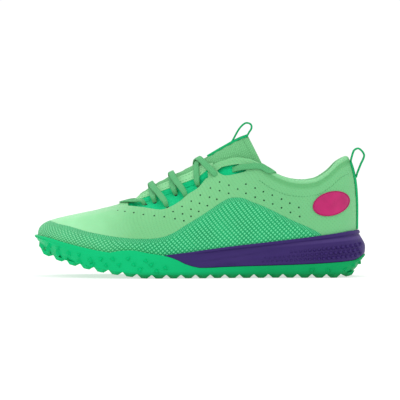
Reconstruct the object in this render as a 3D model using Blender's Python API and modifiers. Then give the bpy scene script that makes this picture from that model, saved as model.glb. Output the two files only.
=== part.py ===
# A low turf shoe for the left foot, standing empty on its sole.
# Toe at -X, heel at +X, outer (lateral) side at -Y, +Z up, lugs down to z = 0.

import math

import bmesh
import bpy
from mathutils import Vector

# Driving sizes, in metres
SOLE_LENGTH = 0.280
BALL_WIDTH = 0.100
TOE_OFFSET = 0.011          # the toe tip lies this far to the inner side
RIM_HEIGHT = 0.0395         # the sole's rim at the heel
TOE_RIM_HEIGHT = 0.0350     # the sole's rim at the toe tip
LUG_HEIGHT = 0.0030
BASE_THICKNESS = 0.0030
RIM_WALL = 0.0022           # the wall that holds the upper's lower edge
HEEL_SET = 0.0045           # how far the upper stands in from the sole's rearmost point
HEEL_SET_FROM = 0.90        # and the share of the length where that starts
TUCK = 0.0040               # how deep the upper's lower edge sits in the sole
COLLAR_HEIGHT = 0.1005      # the collar's peak at the heel, under its roll
WALL = 0.0020               # the upper's wall
COLLAR_PAD = 0.0065         # the padded collar's thickness
UNDERLAY = 0.0012           # the lacing underlay's thickness
TONGUE_THICKNESS = 0.0035
TONGUE_HEIGHT = 0.1195
INSOLE_THICKNESS = 0.0040
TAPE_THICKNESS = 0.0010
TAPE_WIDTH = 0.0100
LACE_WIDTH = 0.0050
LACE_THICKNESS = 0.0018
BADGE_LENGTH = 0.032
BADGE_HEIGHT = 0.020
BADGE_THICKNESS = 0.0008
CLEARANCE = 0.0003

# How finely the forms are cut
HALF_RING = 36              # stations along one side, toe to heel
UPPER_ROWS = 8              # rows from the sole's rim to the throat and collar
LUG_COLUMNS = 6
LACE_SIDES = 6
LACE_STEPS = 2              # steps between two points of a lace end's route
LOOP_STEPS = 4              # steps between two points of a loop
BADGE_RINGS = 3
BADGE_SPOKES = 16
SHARP_ANGLE = 40            # edges that turn by more degrees than this show as creases
SLOPE_STEP = 0.004          # step for slopes taken along a surface
SEARCH_ROUNDS = 8           # rounds and halvings of a search for a point on the upper
SEARCH_HALVES = 18

# Sole outline. Columns: share of the length, outer side and inner side as shares of the ball width
OUTLINE = (
    (0.000, -0.330, 0.460),
    (0.060, -0.365, 0.470),
    (0.140, -0.415, 0.490),
    (0.240, -0.465, 0.500),
    (0.335, -0.500, 0.485),
    (0.450, -0.470, 0.390),
    (0.590, -0.405, 0.300),
    (0.720, -0.360, 0.300),
    (0.840, -0.350, 0.335),
    (1.000, -0.360, 0.350),
)
TOE_ROUND = 0.20            # share of the length that the toe's round takes
HEEL_ROUND = 0.135

# Sole heights. Columns: share of the length, rim and green wall top as shares of the rim height
RIM = (
    (0.000, 0.886, 0.886),
    (0.037, 0.848, 0.848),
    (0.092, 0.749, 0.749),
    (0.148, 0.658, 0.658),
    (0.217, 0.565, 0.565),
    (0.235, 0.548, 0.548),
    (0.262, 0.594, 0.594),
    (0.300, 0.600, 0.600),
    (0.338, 0.547, 0.547),
    (0.392, 0.487, 0.487),
    (0.423, 0.514, 0.425),
    (0.465, 0.550, 0.285),
    (0.505, 0.590, 0.222),
    (0.600, 0.678, 0.245),
    (0.700, 0.757, 0.262),
    (0.800, 0.840, 0.285),
    (0.900, 0.933, 0.325),
    (0.965, 0.990, 0.367),
    (1.000, 1.000, 0.490),
)
# Ground line under the lug tips. Columns: share of the length, height as a share of the toe rim height
GROUND = (
    (0.000, 0.760),
    (0.013, 0.680),
    (0.037, 0.525),
    (0.068, 0.428),
    (0.106, 0.330),
    (0.145, 0.245),
    (0.196, 0.160),
    (0.235, 0.105),
    (0.290, 0.045),
    (0.345, 0.000),
    (0.920, 0.000),
    (0.956, 0.060),
    (0.979, 0.190),
    (1.000, 0.330),
)
# How far the sole's lower edge stands in. Columns: share of the length, share of the ball width
LEAN = (
    (0.000, 0.095),
    (0.060, 0.070),
    (0.150, 0.035),
    (0.300, 0.022),
    (0.600, 0.018),
    (0.880, 0.025),
    (1.000, 0.065),
)
# Steps of the green wall. Columns: share of its height, share of the lean
WALL_STEPS = (
    (0.00, 1.00),
    (0.22, 0.60),
    (0.50, 0.20),
    (0.75, 0.00),
    (1.00, 0.03),
)
# Steps of the purple side. Columns: share of its height, inset as a share of the rim wall
FOAM_STEPS = (
    (0.00, 0.45),
    (0.10, 0.00),
    (0.38, -0.25),
    (0.55, 0.05),
    (0.70, 0.50),
    (0.84, 0.85),
    (0.89, 0.30),
    (1.00, 0.35),
)

FOAM_FROM = 0.42            # the purple side comes out of the green one between these shares of the length
FOAM_TO = 0.56
LUG_TAPER = 0.26            # a lug's slant, as a share of the shortest side of its foot
INSOLE_SHOULDER = 0.7       # height of the insole's upright side, as a share of its thickness
INSOLE_BEVEL = 0.5          # width of its bevel, as a share of its thickness

# Throat and collar edge. Columns: share of the way from the throat's front to the heel, height as a
# share of the collar height, half width on the outer and on the inner side as shares of the ball width
THROAT_FRONT = 0.252        # shares of the sole length
COLLAR_BACK = 0.950
EDGE = (
    (0.000, 0.606, 0.105, 0.105),
    (0.045, 0.628, 0.120, 0.120),
    (0.095, 0.655, 0.135, 0.135),
    (0.180, 0.718, 0.155, 0.155),
    (0.285, 0.795, 0.170, 0.170),
    (0.350, 0.850, 0.178, 0.178),
    (0.400, 0.925, 0.182, 0.180),
    (0.440, 0.965, 0.187, 0.183),
    (0.515, 1.000, 0.205, 0.195),
    (0.555, 0.990, 0.225, 0.208),
    (0.605, 0.950, 0.255, 0.233),
    (0.680, 0.856, 0.300, 0.275),
    (0.750, 0.806, 0.320, 0.295),
    (0.800, 0.796, 0.315, 0.300),
    (0.850, 0.808, 0.300, 0.295),
    (0.905, 0.868, 0.290, 0.290),
    (0.955, 0.955, 0.290, 0.290),
    (1.000, 1.000, 0.290, 0.290),
)
THROAT_ROUND = 0.07
COLLAR_ROUND = 0.24
THROAT_TURN = 0.050         # the throat's front lies this share of the ball width to the inner side
THROAT_STRAIGHT = 0.7       # and the edge is centred from this share of the way on

# Ribs of the upper. Columns: share of the turn from toe to heel, bulge over the rim and spread under
# the top edge as shares of the ball width, rise at the rim and drop at the edge as shares of the height
RIBS = (
    (0.00, 0.000, 0.480, 0.600, 0.500),
    (0.10, 0.002, 0.440, 0.580, 0.420),
    (0.20, 0.008, 0.340, 0.530, 0.300),
    (0.30, 0.014, 0.240, 0.470, 0.280),
    (0.42, 0.012, 0.150, 0.420, 0.300),
    (0.54, 0.004, 0.085, 0.380, 0.340),
    (0.64, -0.003, 0.045, 0.360, 0.360),
    (0.78, 0.005, 0.050, 0.360, 0.360),
    (0.90, 0.004, 0.070, 0.340, 0.320),
    (1.00, 0.000, 0.085, 0.340, 0.300),
)
# Padding at the top edge. Columns: share of the way along the edge, share of the full padding
PADDING = (
    (0.000, 0.00),
    (0.520, 0.00),
    (0.640, 0.75),
    (0.800, 0.90),
    (1.000, 1.00),
)
UNDERLAY_FROM = 0.035       # the lacing underlay's stretch along the throat edge
UNDERLAY_TO = 0.610
UNDERLAY_LOW = 0.50         # and its lower border, as a share of the rib
PAD_DEPTH = 0.035           # the padding fades out this far under the edge
PAD_FULL = 0.25             # and is full over this share of that depth
ROLL = 0.42                 # height of the edge's roll over the upper's thickness
ROLL_TURNS = (50, 90, 130)  # stations of the roll, in degrees

# Lace windows. Columns: length as a share of the sole length, height as a share of the collar height
FRONT_WINDOW = (
    (0.285, 0.600),
    (0.330, 0.590),
    (0.380, 0.571),
    (0.411, 0.593),
    (0.442, 0.643),
    (0.463, 0.694),
    (0.488, 0.736),
    (0.504, 0.777),
    (0.517, 0.823),
    (0.525, 0.862),
    (0.500, 1.100),
    (0.300, 1.000),
)
REAR_WINDOW = (
    (0.552, 0.893),
    (0.570, 0.925),
    (0.613, 0.947),
    (0.624, 0.934),
    (0.620, 0.915),
    (0.640, 0.895),
    (0.618, 0.872),
    (0.580, 0.853),
    (0.562, 0.868),
)

# Tongue. Columns: way along the throat edge, the centre line's length as a share of the sole length,
# its height as a share of the tongue height
TONGUE = (
    (0.040, 0.275, 0.490),
    (0.070, 0.298, 0.530),
    (0.100, 0.320, 0.585),
    (0.200, 0.385, 0.680),
    (0.310, 0.450, 0.752),
    (0.400, 0.505, 0.825),
    (0.500, 0.570, 0.915),
    (0.590, 0.622, 0.980),
    (0.630, 0.645, 1.000),
)
TONGUE_FROM = 0.045         # the tongue's stretch along the throat edge
TONGUE_TO = 0.635
TONGUE_WING_ROWS = 2        # rows of the upper that its wings reach down
TONGUE_ARCH = 6             # steps over its arch
TONGUE_SHOULDER = 0.20      # how far its shoulders draw in, as a share of the arch's width

# Places below are given as length (a share of the sole length) and height (a share of the tongue height)
# Lace strands. Columns: eyelet on the outer side, eyelet on the inner side, how many laces lie under it
LACE_STRANDS = (
    ((0.330, 0.532), (0.330, 0.532), 0),
    ((0.362, 0.556), (0.396, 0.530), 0),
    ((0.396, 0.530), (0.362, 0.556), 1),
    ((0.424, 0.611), (0.454, 0.594), 0),
    ((0.454, 0.594), (0.424, 0.611), 1),
    ((0.493, 0.672), (0.545, 0.725), 0),
    ((0.545, 0.725), (0.493, 0.672), 1),
)
LACE_OVER = 0.0009          # a lace's gap from what it lies on, past half its own thickness
LACE_LIFT = 0.2             # how early a strand lifts over another: 1 is late, 0 at once
LACE_BOW = 0.020            # the strands bow forward by this share of the sole length on the tongue
LACE_POINTS = 14            # steps along a strand
HULL_ROWS = 5               # rows of the upper that a lace is laid over
# A lace end's way over the eyestay to the collar's edge
LACE_END = ((0.616, 0.762), (0.640, 0.775), (0.667, 0.782), (0.690, 0.778), (0.708, 0.757))
LACE_END_INSIDE = (0.93, 0.80, 0.66)        # shares of the rib, on the way down inside
END_OVER = 0.0012           # how far it stands off the collar, past its own thickness
# Loops, from their front foot to their rear foot
TONGUE_LOOP = ((0.594, 0.969), (0.597, 1.004), (0.616, 1.054), (0.643, 1.087), (0.661, 1.062), (0.653, 1.020))
# The heel's loop follows the collar: its heights are shares of the collar height
HEEL_LOOP = ((0.960, 1.0321), (0.967, 1.0618), (0.982, 1.0749), (0.997, 1.0202), (0.986, 0.9394),
             (0.9728, 0.8740))
TAPE_FROM = 0.45            # the tongue's tape starts here along the throat edge
TONGUE_FACING = (-0.5, 0, 0.866)            # the way that the front of the tongue's upper part faces
HEEL_TAPE_REACH = 1.5       # half the heel tape's width, in stations
BADGE_PLACE = (0.894, 0.520)
BADGE_TILT = 0.25           # the badge's slope, in radians
LOOP_WIDTH = 0.0080

# Materials. Columns: colour, roughness
GREEN_RUBBER = ((0.010, 0.530, 0.200), 0.50)
PURPLE_FOAM = ((0.050, 0.024, 0.150), 0.55)
PALE_SKIN = ((0.210, 0.600, 0.260), 0.60)
GREEN_TEXTILE = ((0.008, 0.540, 0.220), 0.65)
PALE_TEXTILE = ((0.180, 0.520, 0.230), 0.80)
PALE_LACE = ((0.160, 0.490, 0.210), 0.75)
FOAM_LINER = ((0.150, 0.480, 0.210), 0.90)
MAGENTA_FILM = ((0.600, 0.030, 0.190), 0.40)


def read(rows, column, share):
    # One column of a table at any share: a smooth curve through its rows that never overshoots
    if share <= rows[0][0]:
        return rows[0][column]
    if share >= rows[-1][0]:
        return rows[-1][column]
    index = max(i for i, row in enumerate(rows[:-1]) if row[0] <= share)
    slopes = [(b[column] - a[column]) / (b[0] - a[0]) for a, b in zip(rows, rows[1:])]

    def tangent(i):
        if i == 0:
            return slopes[0]
        if i == len(rows) - 1:
            return slopes[-1]
        before, after = slopes[i - 1], slopes[i]
        return 0.0 if before * after <= 0 else 2 * before * after / (before + after)

    low, high = rows[index], rows[index + 1]
    width = high[0] - low[0]
    t = (share - low[0]) / width
    return ((2 * t ** 3 - 3 * t ** 2 + 1) * low[column]
            + (t ** 3 - 2 * t ** 2 + t) * width * tangent(index)
            + (3 * t ** 2 - 2 * t ** 3) * high[column]
            + (t ** 3 - t ** 2) * width * tangent(index + 1))


def smooth(low, high, value):
    t = min(max((value - low) / (high - low), 0.0), 1.0)
    return t * t * (3 - 2 * t)


def round_end(share, reach):
    # Falls from 1 to 0 along a quarter circle over the last stretch before an end
    return math.sqrt(max(0.0, 1 - max(0.0, 1 - share / reach) ** 2))


# Sole outline and heights

def share_of(angle):
    # The turn runs from the toe (0) along the outer side to the heel (pi) and back to the toe
    return (1 - math.cos(angle)) / 2


def share_at(x):
    return x / SOLE_LENGTH + 0.5


def outline(angle):
    share = share_of(angle)
    line = BALL_WIDTH * read(OUTLINE, 1 if math.sin(angle) >= 0 else 2, share)
    line = TOE_OFFSET + (line - TOE_OFFSET) * round_end(share, TOE_ROUND)
    line = line * round_end(1 - share, HEEL_ROUND)
    return Vector((SOLE_LENGTH * (share - 0.5), line, 0.0))


def outward(path, angle):
    # Level normal of a closed path that runs counter-clockwise, seen from above
    along = path(angle + SLOPE_STEP) - path(angle - SLOPE_STEP)
    return Vector((along.y, -along.x, 0.0)).normalized()


def rim(share):
    return RIM_HEIGHT * read(RIM, 1, share)


def wall_top(share):
    return RIM_HEIGHT * read(RIM, 2, share)


def ground(x):
    return TOE_RIM_HEIGHT * read(GROUND, 1, share_at(x))


def floor(x):
    return ground(x) + LUG_HEIGHT + BASE_THICKNESS


def lean(share):
    return BALL_WIDTH * read(LEAN, 1, share)


def heel_set(share):
    # How far the upper and the foam's top edge stand in from the sole's outline at the heel
    return HEEL_SET * smooth(HEEL_SET_FROM, 1.0, share)


def bed(share):
    return rim(share) - TUCK - CLEARANCE


def seat(share):
    # Down to here the green wall stands straight beside the upper's tucked edge
    return min(wall_top(share) - 2 * CLEARANCE, bed(share) - CLEARANCE)


ANGLES = [math.pi * k / HALF_RING for k in range(2 * HALF_RING)]


def ring(inset, height):
    # inset(share) steps in from the outline, height(share, x) gives the level
    points = []
    for angle in ANGLES:
        share = share_of(angle)
        point = outline(angle) - outward(outline, angle) * inset(share)
        point.z = height(share, point.x)
        points.append(point)
    return points


# The last: ribs from the sole's rim to the throat and collar edge

def edge(angle):
    along = share_of(angle)
    share = THROAT_FRONT + (COLLAR_BACK - THROAT_FRONT) * along
    outer = math.sin(angle) >= 0
    half = BALL_WIDTH * read(EDGE, 2 if outer else 3, along)
    half *= round_end(along, THROAT_ROUND) * round_end(1 - along, COLLAR_ROUND)
    centre = BALL_WIDTH * THROAT_TURN * (1 - smooth(0.0, THROAT_STRAIGHT, along))
    height = COLLAR_HEIGHT * read(EDGE, 1, along)
    return Vector((SOLE_LENGTH * (share - 0.5), centre + (-half if outer else half), height))


def rib(angle):
    share = share_of(angle)
    turn = abs(math.remainder(angle, 2 * math.pi)) / math.pi
    foot = outline(angle) - outward(outline, angle) * (RIM_WALL + CLEARANCE + heel_set(share))
    foot.z = rim(share)
    top = edge(angle)
    height = top.z - foot.z
    up = Vector((0, 0, 1))
    bulge = outward(outline, angle) * BALL_WIDTH * read(RIBS, 1, turn)
    spread = outward(edge, angle) * BALL_WIDTH * read(RIBS, 2, turn)
    first = foot + bulge + up * height * read(RIBS, 3, turn)
    second = top + spread - up * height * read(RIBS, 4, turn)
    return foot, first, second, top


def bezier(handles, share):
    start, first, second, end = handles
    left = 1 - share
    return start * left ** 3 + first * 3 * share * left ** 2 + second * 3 * share ** 2 * left + end * share ** 3


def last_point(angle, rise):
    return bezier(rib(angle), rise)


def last_normal(angle, rise):
    step = SLOPE_STEP
    low, high = max(rise - step, 0.0), min(rise + step, 1.0)
    around = last_point(angle + step, rise) - last_point(angle - step, rise)
    upward = last_point(angle, high) - last_point(angle, low)
    return around.cross(upward).normalized()


def skin(angle, rise, depth):
    return last_point(angle, rise) - last_normal(angle, rise) * depth


def padding(angle):
    return WALL + (COLLAR_PAD - WALL) * read(PADDING, 1, share_of(angle))


def wall_at(angle, rise):
    # The wall's thickness: plain low down, padded near the collar
    below = (last_point(angle, 1.0) - last_point(angle, rise)).length
    return WALL + (padding(angle) - WALL) * (1 - smooth(PAD_FULL * PAD_DEPTH, PAD_DEPTH, below))


def find(length, height, outer=True):
    # The turn and rise of the upper's point at this place along the shoe and this height
    low, high = 0.0, math.pi
    side = 1 if outer else -1
    rise = 0.5
    for _ in range(SEARCH_ROUNDS):
        low, high = 0.0, math.pi
        for _ in range(SEARCH_HALVES):
            angle = (low + high) / 2
            low, high = (angle, high) if last_point(side * angle, rise).x < length else (low, angle)
        bottom, top = 0.0, 1.0
        for _ in range(SEARCH_HALVES):
            rise = (bottom + top) / 2
            bottom, top = (rise, top) if last_point(side * angle, rise).z < height else (bottom, rise)
    return side * angle, rise


# Meshes and objects

collection = bpy.data.collections.new("turf_shoe")
cutters = bpy.data.collections.new("cutters")


def clear_scene():
    for thing in list(bpy.data.objects):
        bpy.data.objects.remove(thing)
    bpy.context.scene.collection.children.link(collection)
    bpy.context.scene.collection.children.link(cutters)


def material(name, finish):
    colour, roughness = finish
    made = bpy.data.materials.new(name)
    made.use_nodes = True
    shader = made.node_tree.nodes["Principled BSDF"]
    shader.inputs["Base Color"].default_value = (*colour, 1.0)
    shader.inputs["Roughness"].default_value = roughness
    return made


def place(name, mesh, finish=None):
    made = bpy.data.objects.new(name, mesh)
    if finish:
        collection.objects.link(made)
        mesh.materials.append(finish)
        mesh.shade_smooth()
        mesh.set_sharp_from_angle(angle=math.radians(SHARP_ANGLE))
    else:
        cutters.objects.link(made)
        made.hide_render = True
        made.display_type = "WIRE"
    return made


def finish_mesh(name, build, outward_faces=True):
    work = bmesh.new()
    build(work)
    if outward_faces:
        bmesh.ops.recalc_face_normals(work, faces=work.faces)
    mesh = bpy.data.meshes.new(name)
    work.to_mesh(mesh)
    work.free()
    return mesh


def bridge(work, lower, upper, closed=True):
    count = len(lower) if closed else len(lower) - 1
    for i in range(count):
        j = (i + 1) % len(lower)
        work.faces.new((lower[i], lower[j], upper[j], upper[i]))


def add_ring(work, points):
    return [work.verts.new(point) for point in points]


def ladder(work, loop, columns=1, height=None):
    # Closes a ring with rows of cells between its two sides, and returns the cells' faces
    half = len(loop) // 2
    rows = []
    for k in range(1, half):
        left, right = loop[k], loop[-k]
        row = [left]
        for c in range(1, columns):
            point = left.co.lerp(right.co, c / columns)
            if height:
                point.z = height(point.x)
            row.append(work.verts.new(point))
        rows.append(row + [right])
    cells = []
    for row, following in zip(rows, rows[1:]):
        for c in range(columns):
            cells.append(work.faces.new((row[c], row[c + 1], following[c + 1], following[c])))
    for tip, row in ((loop[0], rows[0]), (loop[half], rows[-1])):
        for c in range(columns):
            work.faces.new((tip, row[c], row[c + 1]))
    return cells


def sheet(name, rows, thickness, finish):
    # A grid of points as a skin with its thickness turned inwards
    def build(work):
        loops = [add_ring(work, row) for row in rows]
        for lower, upper in zip(loops, loops[1:]):
            bridge(work, lower, upper, closed=False)

    return thicken(place(name, finish_mesh(name, build, outward_faces=False), finish), thickness)


def thicken(made, thickness):
    # Adds the thickness behind an open surface
    solidify = made.modifiers.new("thickness", "SOLIDIFY")
    solidify.thickness = thickness
    solidify.offset = -1.0
    return made


def cut(target, cutter):
    boolean = target.modifiers.new("cut by " + cutter.name, "BOOLEAN")
    boolean.operation = "DIFFERENCE"
    boolean.solver = "EXACT"
    boolean.object = cutter


def sweep(work, path, sides, width, thickness, up=None):
    # A flat band or lace along a path. Its section is an ellipse, or a box with four sides
    rings = []
    for i, point in enumerate(path):
        along = (path[min(i + 1, len(path) - 1)] - path[max(i - 1, 0)]).normalized()
        across = along.cross(up[i] if up else Vector((0, 0, 1))).normalized()
        flat = across.cross(along).normalized()
        turn = math.pi / 4 if sides == 4 else 0.0
        grow = math.sqrt(2) if sides == 4 else 1.0
        section = []
        for s in range(sides):
            a = 2 * math.pi * s / sides + turn
            sideways = across * grow * width / 2 * math.cos(a)
            section.append(point + sideways + flat * grow * thickness / 2 * math.sin(a))
        rings.append(add_ring(work, section))
    for lower, upper in zip(rings, rings[1:]):
        bridge(work, lower, upper)
    work.faces.new(rings[0])
    work.faces.new(rings[-1])


def curve_through(points, steps):
    # A smooth path through a few points
    ends = [points[0] * 2 - points[1]] + list(points) + [points[-1] * 2 - points[-2]]
    path = []
    for i in range(1, len(ends) - 2):
        for s in range(steps):
            t = s / steps
            before, start, end, after = ends[i - 1:i + 3]
            path.append(0.5 * (2 * start + (end - before) * t
                               + (2 * before - 5 * start + 4 * end - after) * t ** 2
                               + (3 * start - before - 3 * end + after) * t ** 3))
    return path + [points[-1]]


# Sole

def outsole(finish):
    def wall_ring(height_share, lean_share):
        def level(share, x):
            low = ground(x) + LUG_HEIGHT
            return low + (wall_top(share) - low) * height_share
        return ring(lambda share: lean(share) * lean_share, level)

    def build(work):
        rings = [add_ring(work, wall_ring(*step)) for step in WALL_STEPS]
        rings.append(add_ring(work, ring(lambda share: RIM_WALL, lambda share, x: wall_top(share))))
        rings.append(add_ring(work, ring(lambda share: RIM_WALL, lambda share, x: seat(share))))
        rings.append(add_ring(work, ring(lambda share: lean(share) + RIM_WALL, lambda share, x: floor(x))))
        for lower, upper in zip(rings, rings[1:]):
            bridge(work, lower, upper)
        ladder(work, rings[-1])
        cells = ladder(work, rings[0], LUG_COLUMNS, lambda x: ground(x) + LUG_HEIGHT)
        bmesh.ops.recalc_face_normals(work, faces=work.faces)
        lugs = [cell for i, cell in enumerate(cells)
                if (i // LUG_COLUMNS + i % LUG_COLUMNS) % 2 == 0 or i % LUG_COLUMNS in (0, LUG_COLUMNS - 1)]
        for lug in lugs:
            reach = min(side.calc_length() for side in lug.edges)
            bmesh.ops.inset_individual(work, faces=[lug], thickness=LUG_TAPER * reach, use_even_offset=True)
            for corner in lug.verts:
                corner.co.z = ground(corner.co.x)

    return place("outsole", finish_mesh("outsole", build), finish)


def cup_cutter():
    # The green cup with its clearance, which the foam is cut by
    outside = -2 * RIM_WALL

    def build(work):
        rings = [
            ring(lambda share: outside, lambda share, x: ground(x) - LUG_HEIGHT),
            ring(lambda share: outside, lambda share, x: wall_top(share) + CLEARANCE),
            ring(lambda share: RIM_WALL + CLEARANCE, lambda share, x: wall_top(share) + CLEARANCE),
            ring(lambda share: RIM_WALL + CLEARANCE, lambda share, x: seat(share)),
            ring(lambda share: lean(share) + RIM_WALL + 2 * CLEARANCE, lambda share, x: floor(x) + CLEARANCE),
        ]
        rings = [add_ring(work, points) for points in rings]
        for lower, upper in zip(rings, rings[1:]):
            bridge(work, lower, upper)
        ladder(work, rings[0])
        ladder(work, rings[-1])

    return place("cup_cutter", finish_mesh("cup_cutter", build))


def midsole(finish):
    def side_ring(height_share, inset_share):
        def level(share, x):
            low = min(wall_top(share), rim(share) - TUCK)
            return low + (rim(share) - low) * height_share

        def inset(share):
            return RIM_WALL * inset_share * smooth(FOAM_FROM, FOAM_TO, share) + heel_set(share) * height_share ** 2
        return ring(inset, level)

    def build(work):
        rings = [ring(lambda share: lean(share), lambda share, x: ground(x) + LUG_HEIGHT)]
        rings += [side_ring(*step) for step in FOAM_STEPS]
        rings.append(ring(lambda share: RIM_WALL + heel_set(share), lambda share, x: rim(share)))
        rings.append(ring(lambda share: RIM_WALL + heel_set(share), lambda share, x: bed(share)))
        rings = [add_ring(work, points) for points in rings]
        for lower, upper in zip(rings, rings[1:]):
            bridge(work, lower, upper)
        ladder(work, rings[0])
        ladder(work, rings[-1])

    made = place("midsole", finish_mesh("midsole", build), finish)
    cut(made, cup_cutter())
    return made


def insole(finish):
    def inset(share):
        return RIM_WALL + WALL + 2 * CLEARANCE + heel_set(share)

    shoulder = INSOLE_SHOULDER * INSOLE_THICKNESS
    bevel = INSOLE_BEVEL * INSOLE_THICKNESS

    def build(work):
        rings = [
            ring(inset, lambda share, x: bed(share) + CLEARANCE),
            ring(inset, lambda share, x: bed(share) + CLEARANCE + shoulder),
            ring(lambda share: inset(share) + bevel, lambda share, x: bed(share) + INSOLE_THICKNESS),
        ]
        rings = [add_ring(work, points) for points in rings]
        for lower, upper in zip(rings, rings[1:]):
            bridge(work, lower, upper)
        ladder(work, rings[0])
        ladder(work, rings[-1])

    return place("insole", finish_mesh("insole", build), finish)


# Upper

def window_cutter(name, table):
    # A prism through the outer or inner side of the upper
    def build(work):
        loops = []
        for side in (-1, 1):
            points = [Vector((SOLE_LENGTH * (length - 0.5), side * BALL_WIDTH, COLLAR_HEIGHT * height))
                      for length, height in table]
            loops.append(add_ring(work, points))
        bridge(work, *loops)
        work.faces.new(loops[0])
        work.faces.new(loops[1])

    return place(name, finish_mesh(name, build))


def upper(finish):
    tucked = []
    for angle in ANGLES:
        point = last_point(angle, 0.0)
        tucked.append(Vector((point.x, point.y, rim(share_of(angle)) - TUCK)))

    def shell_row(depth_share, row):
        rise = row / UPPER_ROWS
        return [skin(angle, rise, depth_share * wall_at(angle, rise)) for angle in ANGLES]

    def roll_row(turn):
        points = []
        for angle in ANGLES:
            top, normal = last_point(angle, 1.0), last_normal(angle, 1.0)
            pad = wall_at(angle, 1.0)
            upward = (top - last_point(angle, 1.0 - SLOPE_STEP)).normalized()
            points.append(top - normal * pad * (1 - math.cos(turn)) / 2 + upward * pad * ROLL * math.sin(turn))
        return points

    def inner_foot():
        points = []
        for angle in ANGLES:
            point = last_point(angle, 0.0) - outward(outline, angle) * WALL
            point.z = rim(share_of(angle)) - TUCK
            points.append(point)
        return points

    def build(work):
        rows = [tucked]
        rows += [shell_row(0.0, row) for row in range(UPPER_ROWS + 1)]
        rows += [roll_row(math.radians(turn)) for turn in ROLL_TURNS]
        rows += [shell_row(1.0, row) for row in range(UPPER_ROWS, -1, -1)]
        rows.append(inner_foot())
        rings = [add_ring(work, points) for points in rows]
        for lower, higher in zip(rings, rings[1:] + rings[:1]):
            bridge(work, lower, higher)

    made = place("upper", finish_mesh("upper", build), finish)
    cut(made, window_cutter("front_window", FRONT_WINDOW))
    cut(made, window_cutter("rear_window", REAR_WINDOW))
    return made


def eyestay(name, outer, finish):
    # The lacing underlay lies behind the windows, just inside the upper's wall
    angles = [angle for angle in ANGLES if UNDERLAY_FROM < share_of(angle) < UNDERLAY_TO]
    angles = [angle for angle in angles if (math.sin(angle) > 0) == outer]
    rows = []
    for row in range(round(UNDERLAY_LOW * UPPER_ROWS), UPPER_ROWS + 1):
        rise = row / UPPER_ROWS
        rows.append([skin(angle, rise, wall_at(angle, rise) + 2 * CLEARANCE) for angle in angles])
    return sheet(name, rows, UNDERLAY, finish)


# Tongue, tape and loops

def tongue_wing(angle):
    # The tongue's side, from its wing's border up to the throat edge, inside the underlay
    rises = [row / UPPER_ROWS for row in range(UPPER_ROWS - TONGUE_WING_ROWS, UPPER_ROWS + 1)]
    return [skin(angle, rise, wall_at(angle, rise) + UNDERLAY + 4 * CLEARANCE) for rise in rises]


def tongue_arch(angle):
    # Handles of the arch from the outer throat edge over the centre line to the inner one
    along = share_of(angle)
    outer, inner = tongue_wing(angle)[-1], tongue_wing(-angle)[-1]
    centre = Vector((SOLE_LENGTH * (read(TONGUE, 1, along) - 0.5), (outer.y + inner.y) / 2,
                     TONGUE_HEIGHT * read(TONGUE, 2, along)))
    crown = (centre - (outer + inner) / 2) * 4 / 3
    across = (inner - outer) * TONGUE_SHOULDER
    return outer, outer + crown + across, inner + crown - across, inner


def tongue_row(angle):
    # From the outer wing over the centre line to the inner wing
    arch = tongue_arch(angle)
    crossing = [bezier(arch, i / TONGUE_ARCH) for i in range(1, TONGUE_ARCH)]
    return tongue_wing(angle) + crossing + tongue_wing(-angle)[::-1]


def tongue_angles(start=TONGUE_FROM):
    return [angle for angle in ANGLES if 0 < angle < math.pi and start < share_of(angle) < TONGUE_TO]


def tongue(finish):
    rows = [tongue_row(angle)[::-1] for angle in tongue_angles()]
    return sheet("tongue", rows, TONGUE_THICKNESS, finish)


def tongue_tape(finish):
    # A flat tape down the middle of the tongue's front
    rows = []
    for angle in tongue_angles(TAPE_FROM):
        row = tongue_row(angle)
        middle = len(row) // 2
        before, centre, after = row[middle - 1:middle + 2]
        half = (after - before).normalized() * TAPE_WIDTH / 2
        away = Vector(TONGUE_FACING) * (TAPE_THICKNESS + 2 * CLEARANCE)
        rows.append([centre + half + away, centre + away, centre - half + away])
    return sheet("tongue_tape", rows, TAPE_THICKNESS, finish)


def place_at(length, height, scale=TONGUE_HEIGHT):
    return Vector((SOLE_LENGTH * (length - 0.5), 0.0, scale * height))


def loop(name, route, scale, finish):
    # A tape on edge in the middle of the shoe
    path = curve_through([place_at(length, height, scale) for length, height in route], LOOP_STEPS)
    across = Vector((0, 1, 0))
    ups = [across.cross(path[min(i + 1, len(path) - 1)] - path[max(i - 1, 0)]) for i in range(len(path))]

    def build(work):
        sweep(work, path, 4, LOOP_WIDTH, TAPE_THICKNESS, ups)

    return place(name, finish_mesh(name, build), finish)


def heel_tape(finish):
    angles = [angle for angle in ANGLES if abs(angle - math.pi) < HEEL_TAPE_REACH * math.pi / HALF_RING]
    depth = -(TAPE_THICKNESS + CLEARANCE)
    rows = [[skin(angle, rise / UPPER_ROWS, depth) for angle in angles] for rise in range(1, UPPER_ROWS)]
    return sheet("heel_tape", rows, TAPE_THICKNESS, finish)


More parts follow.
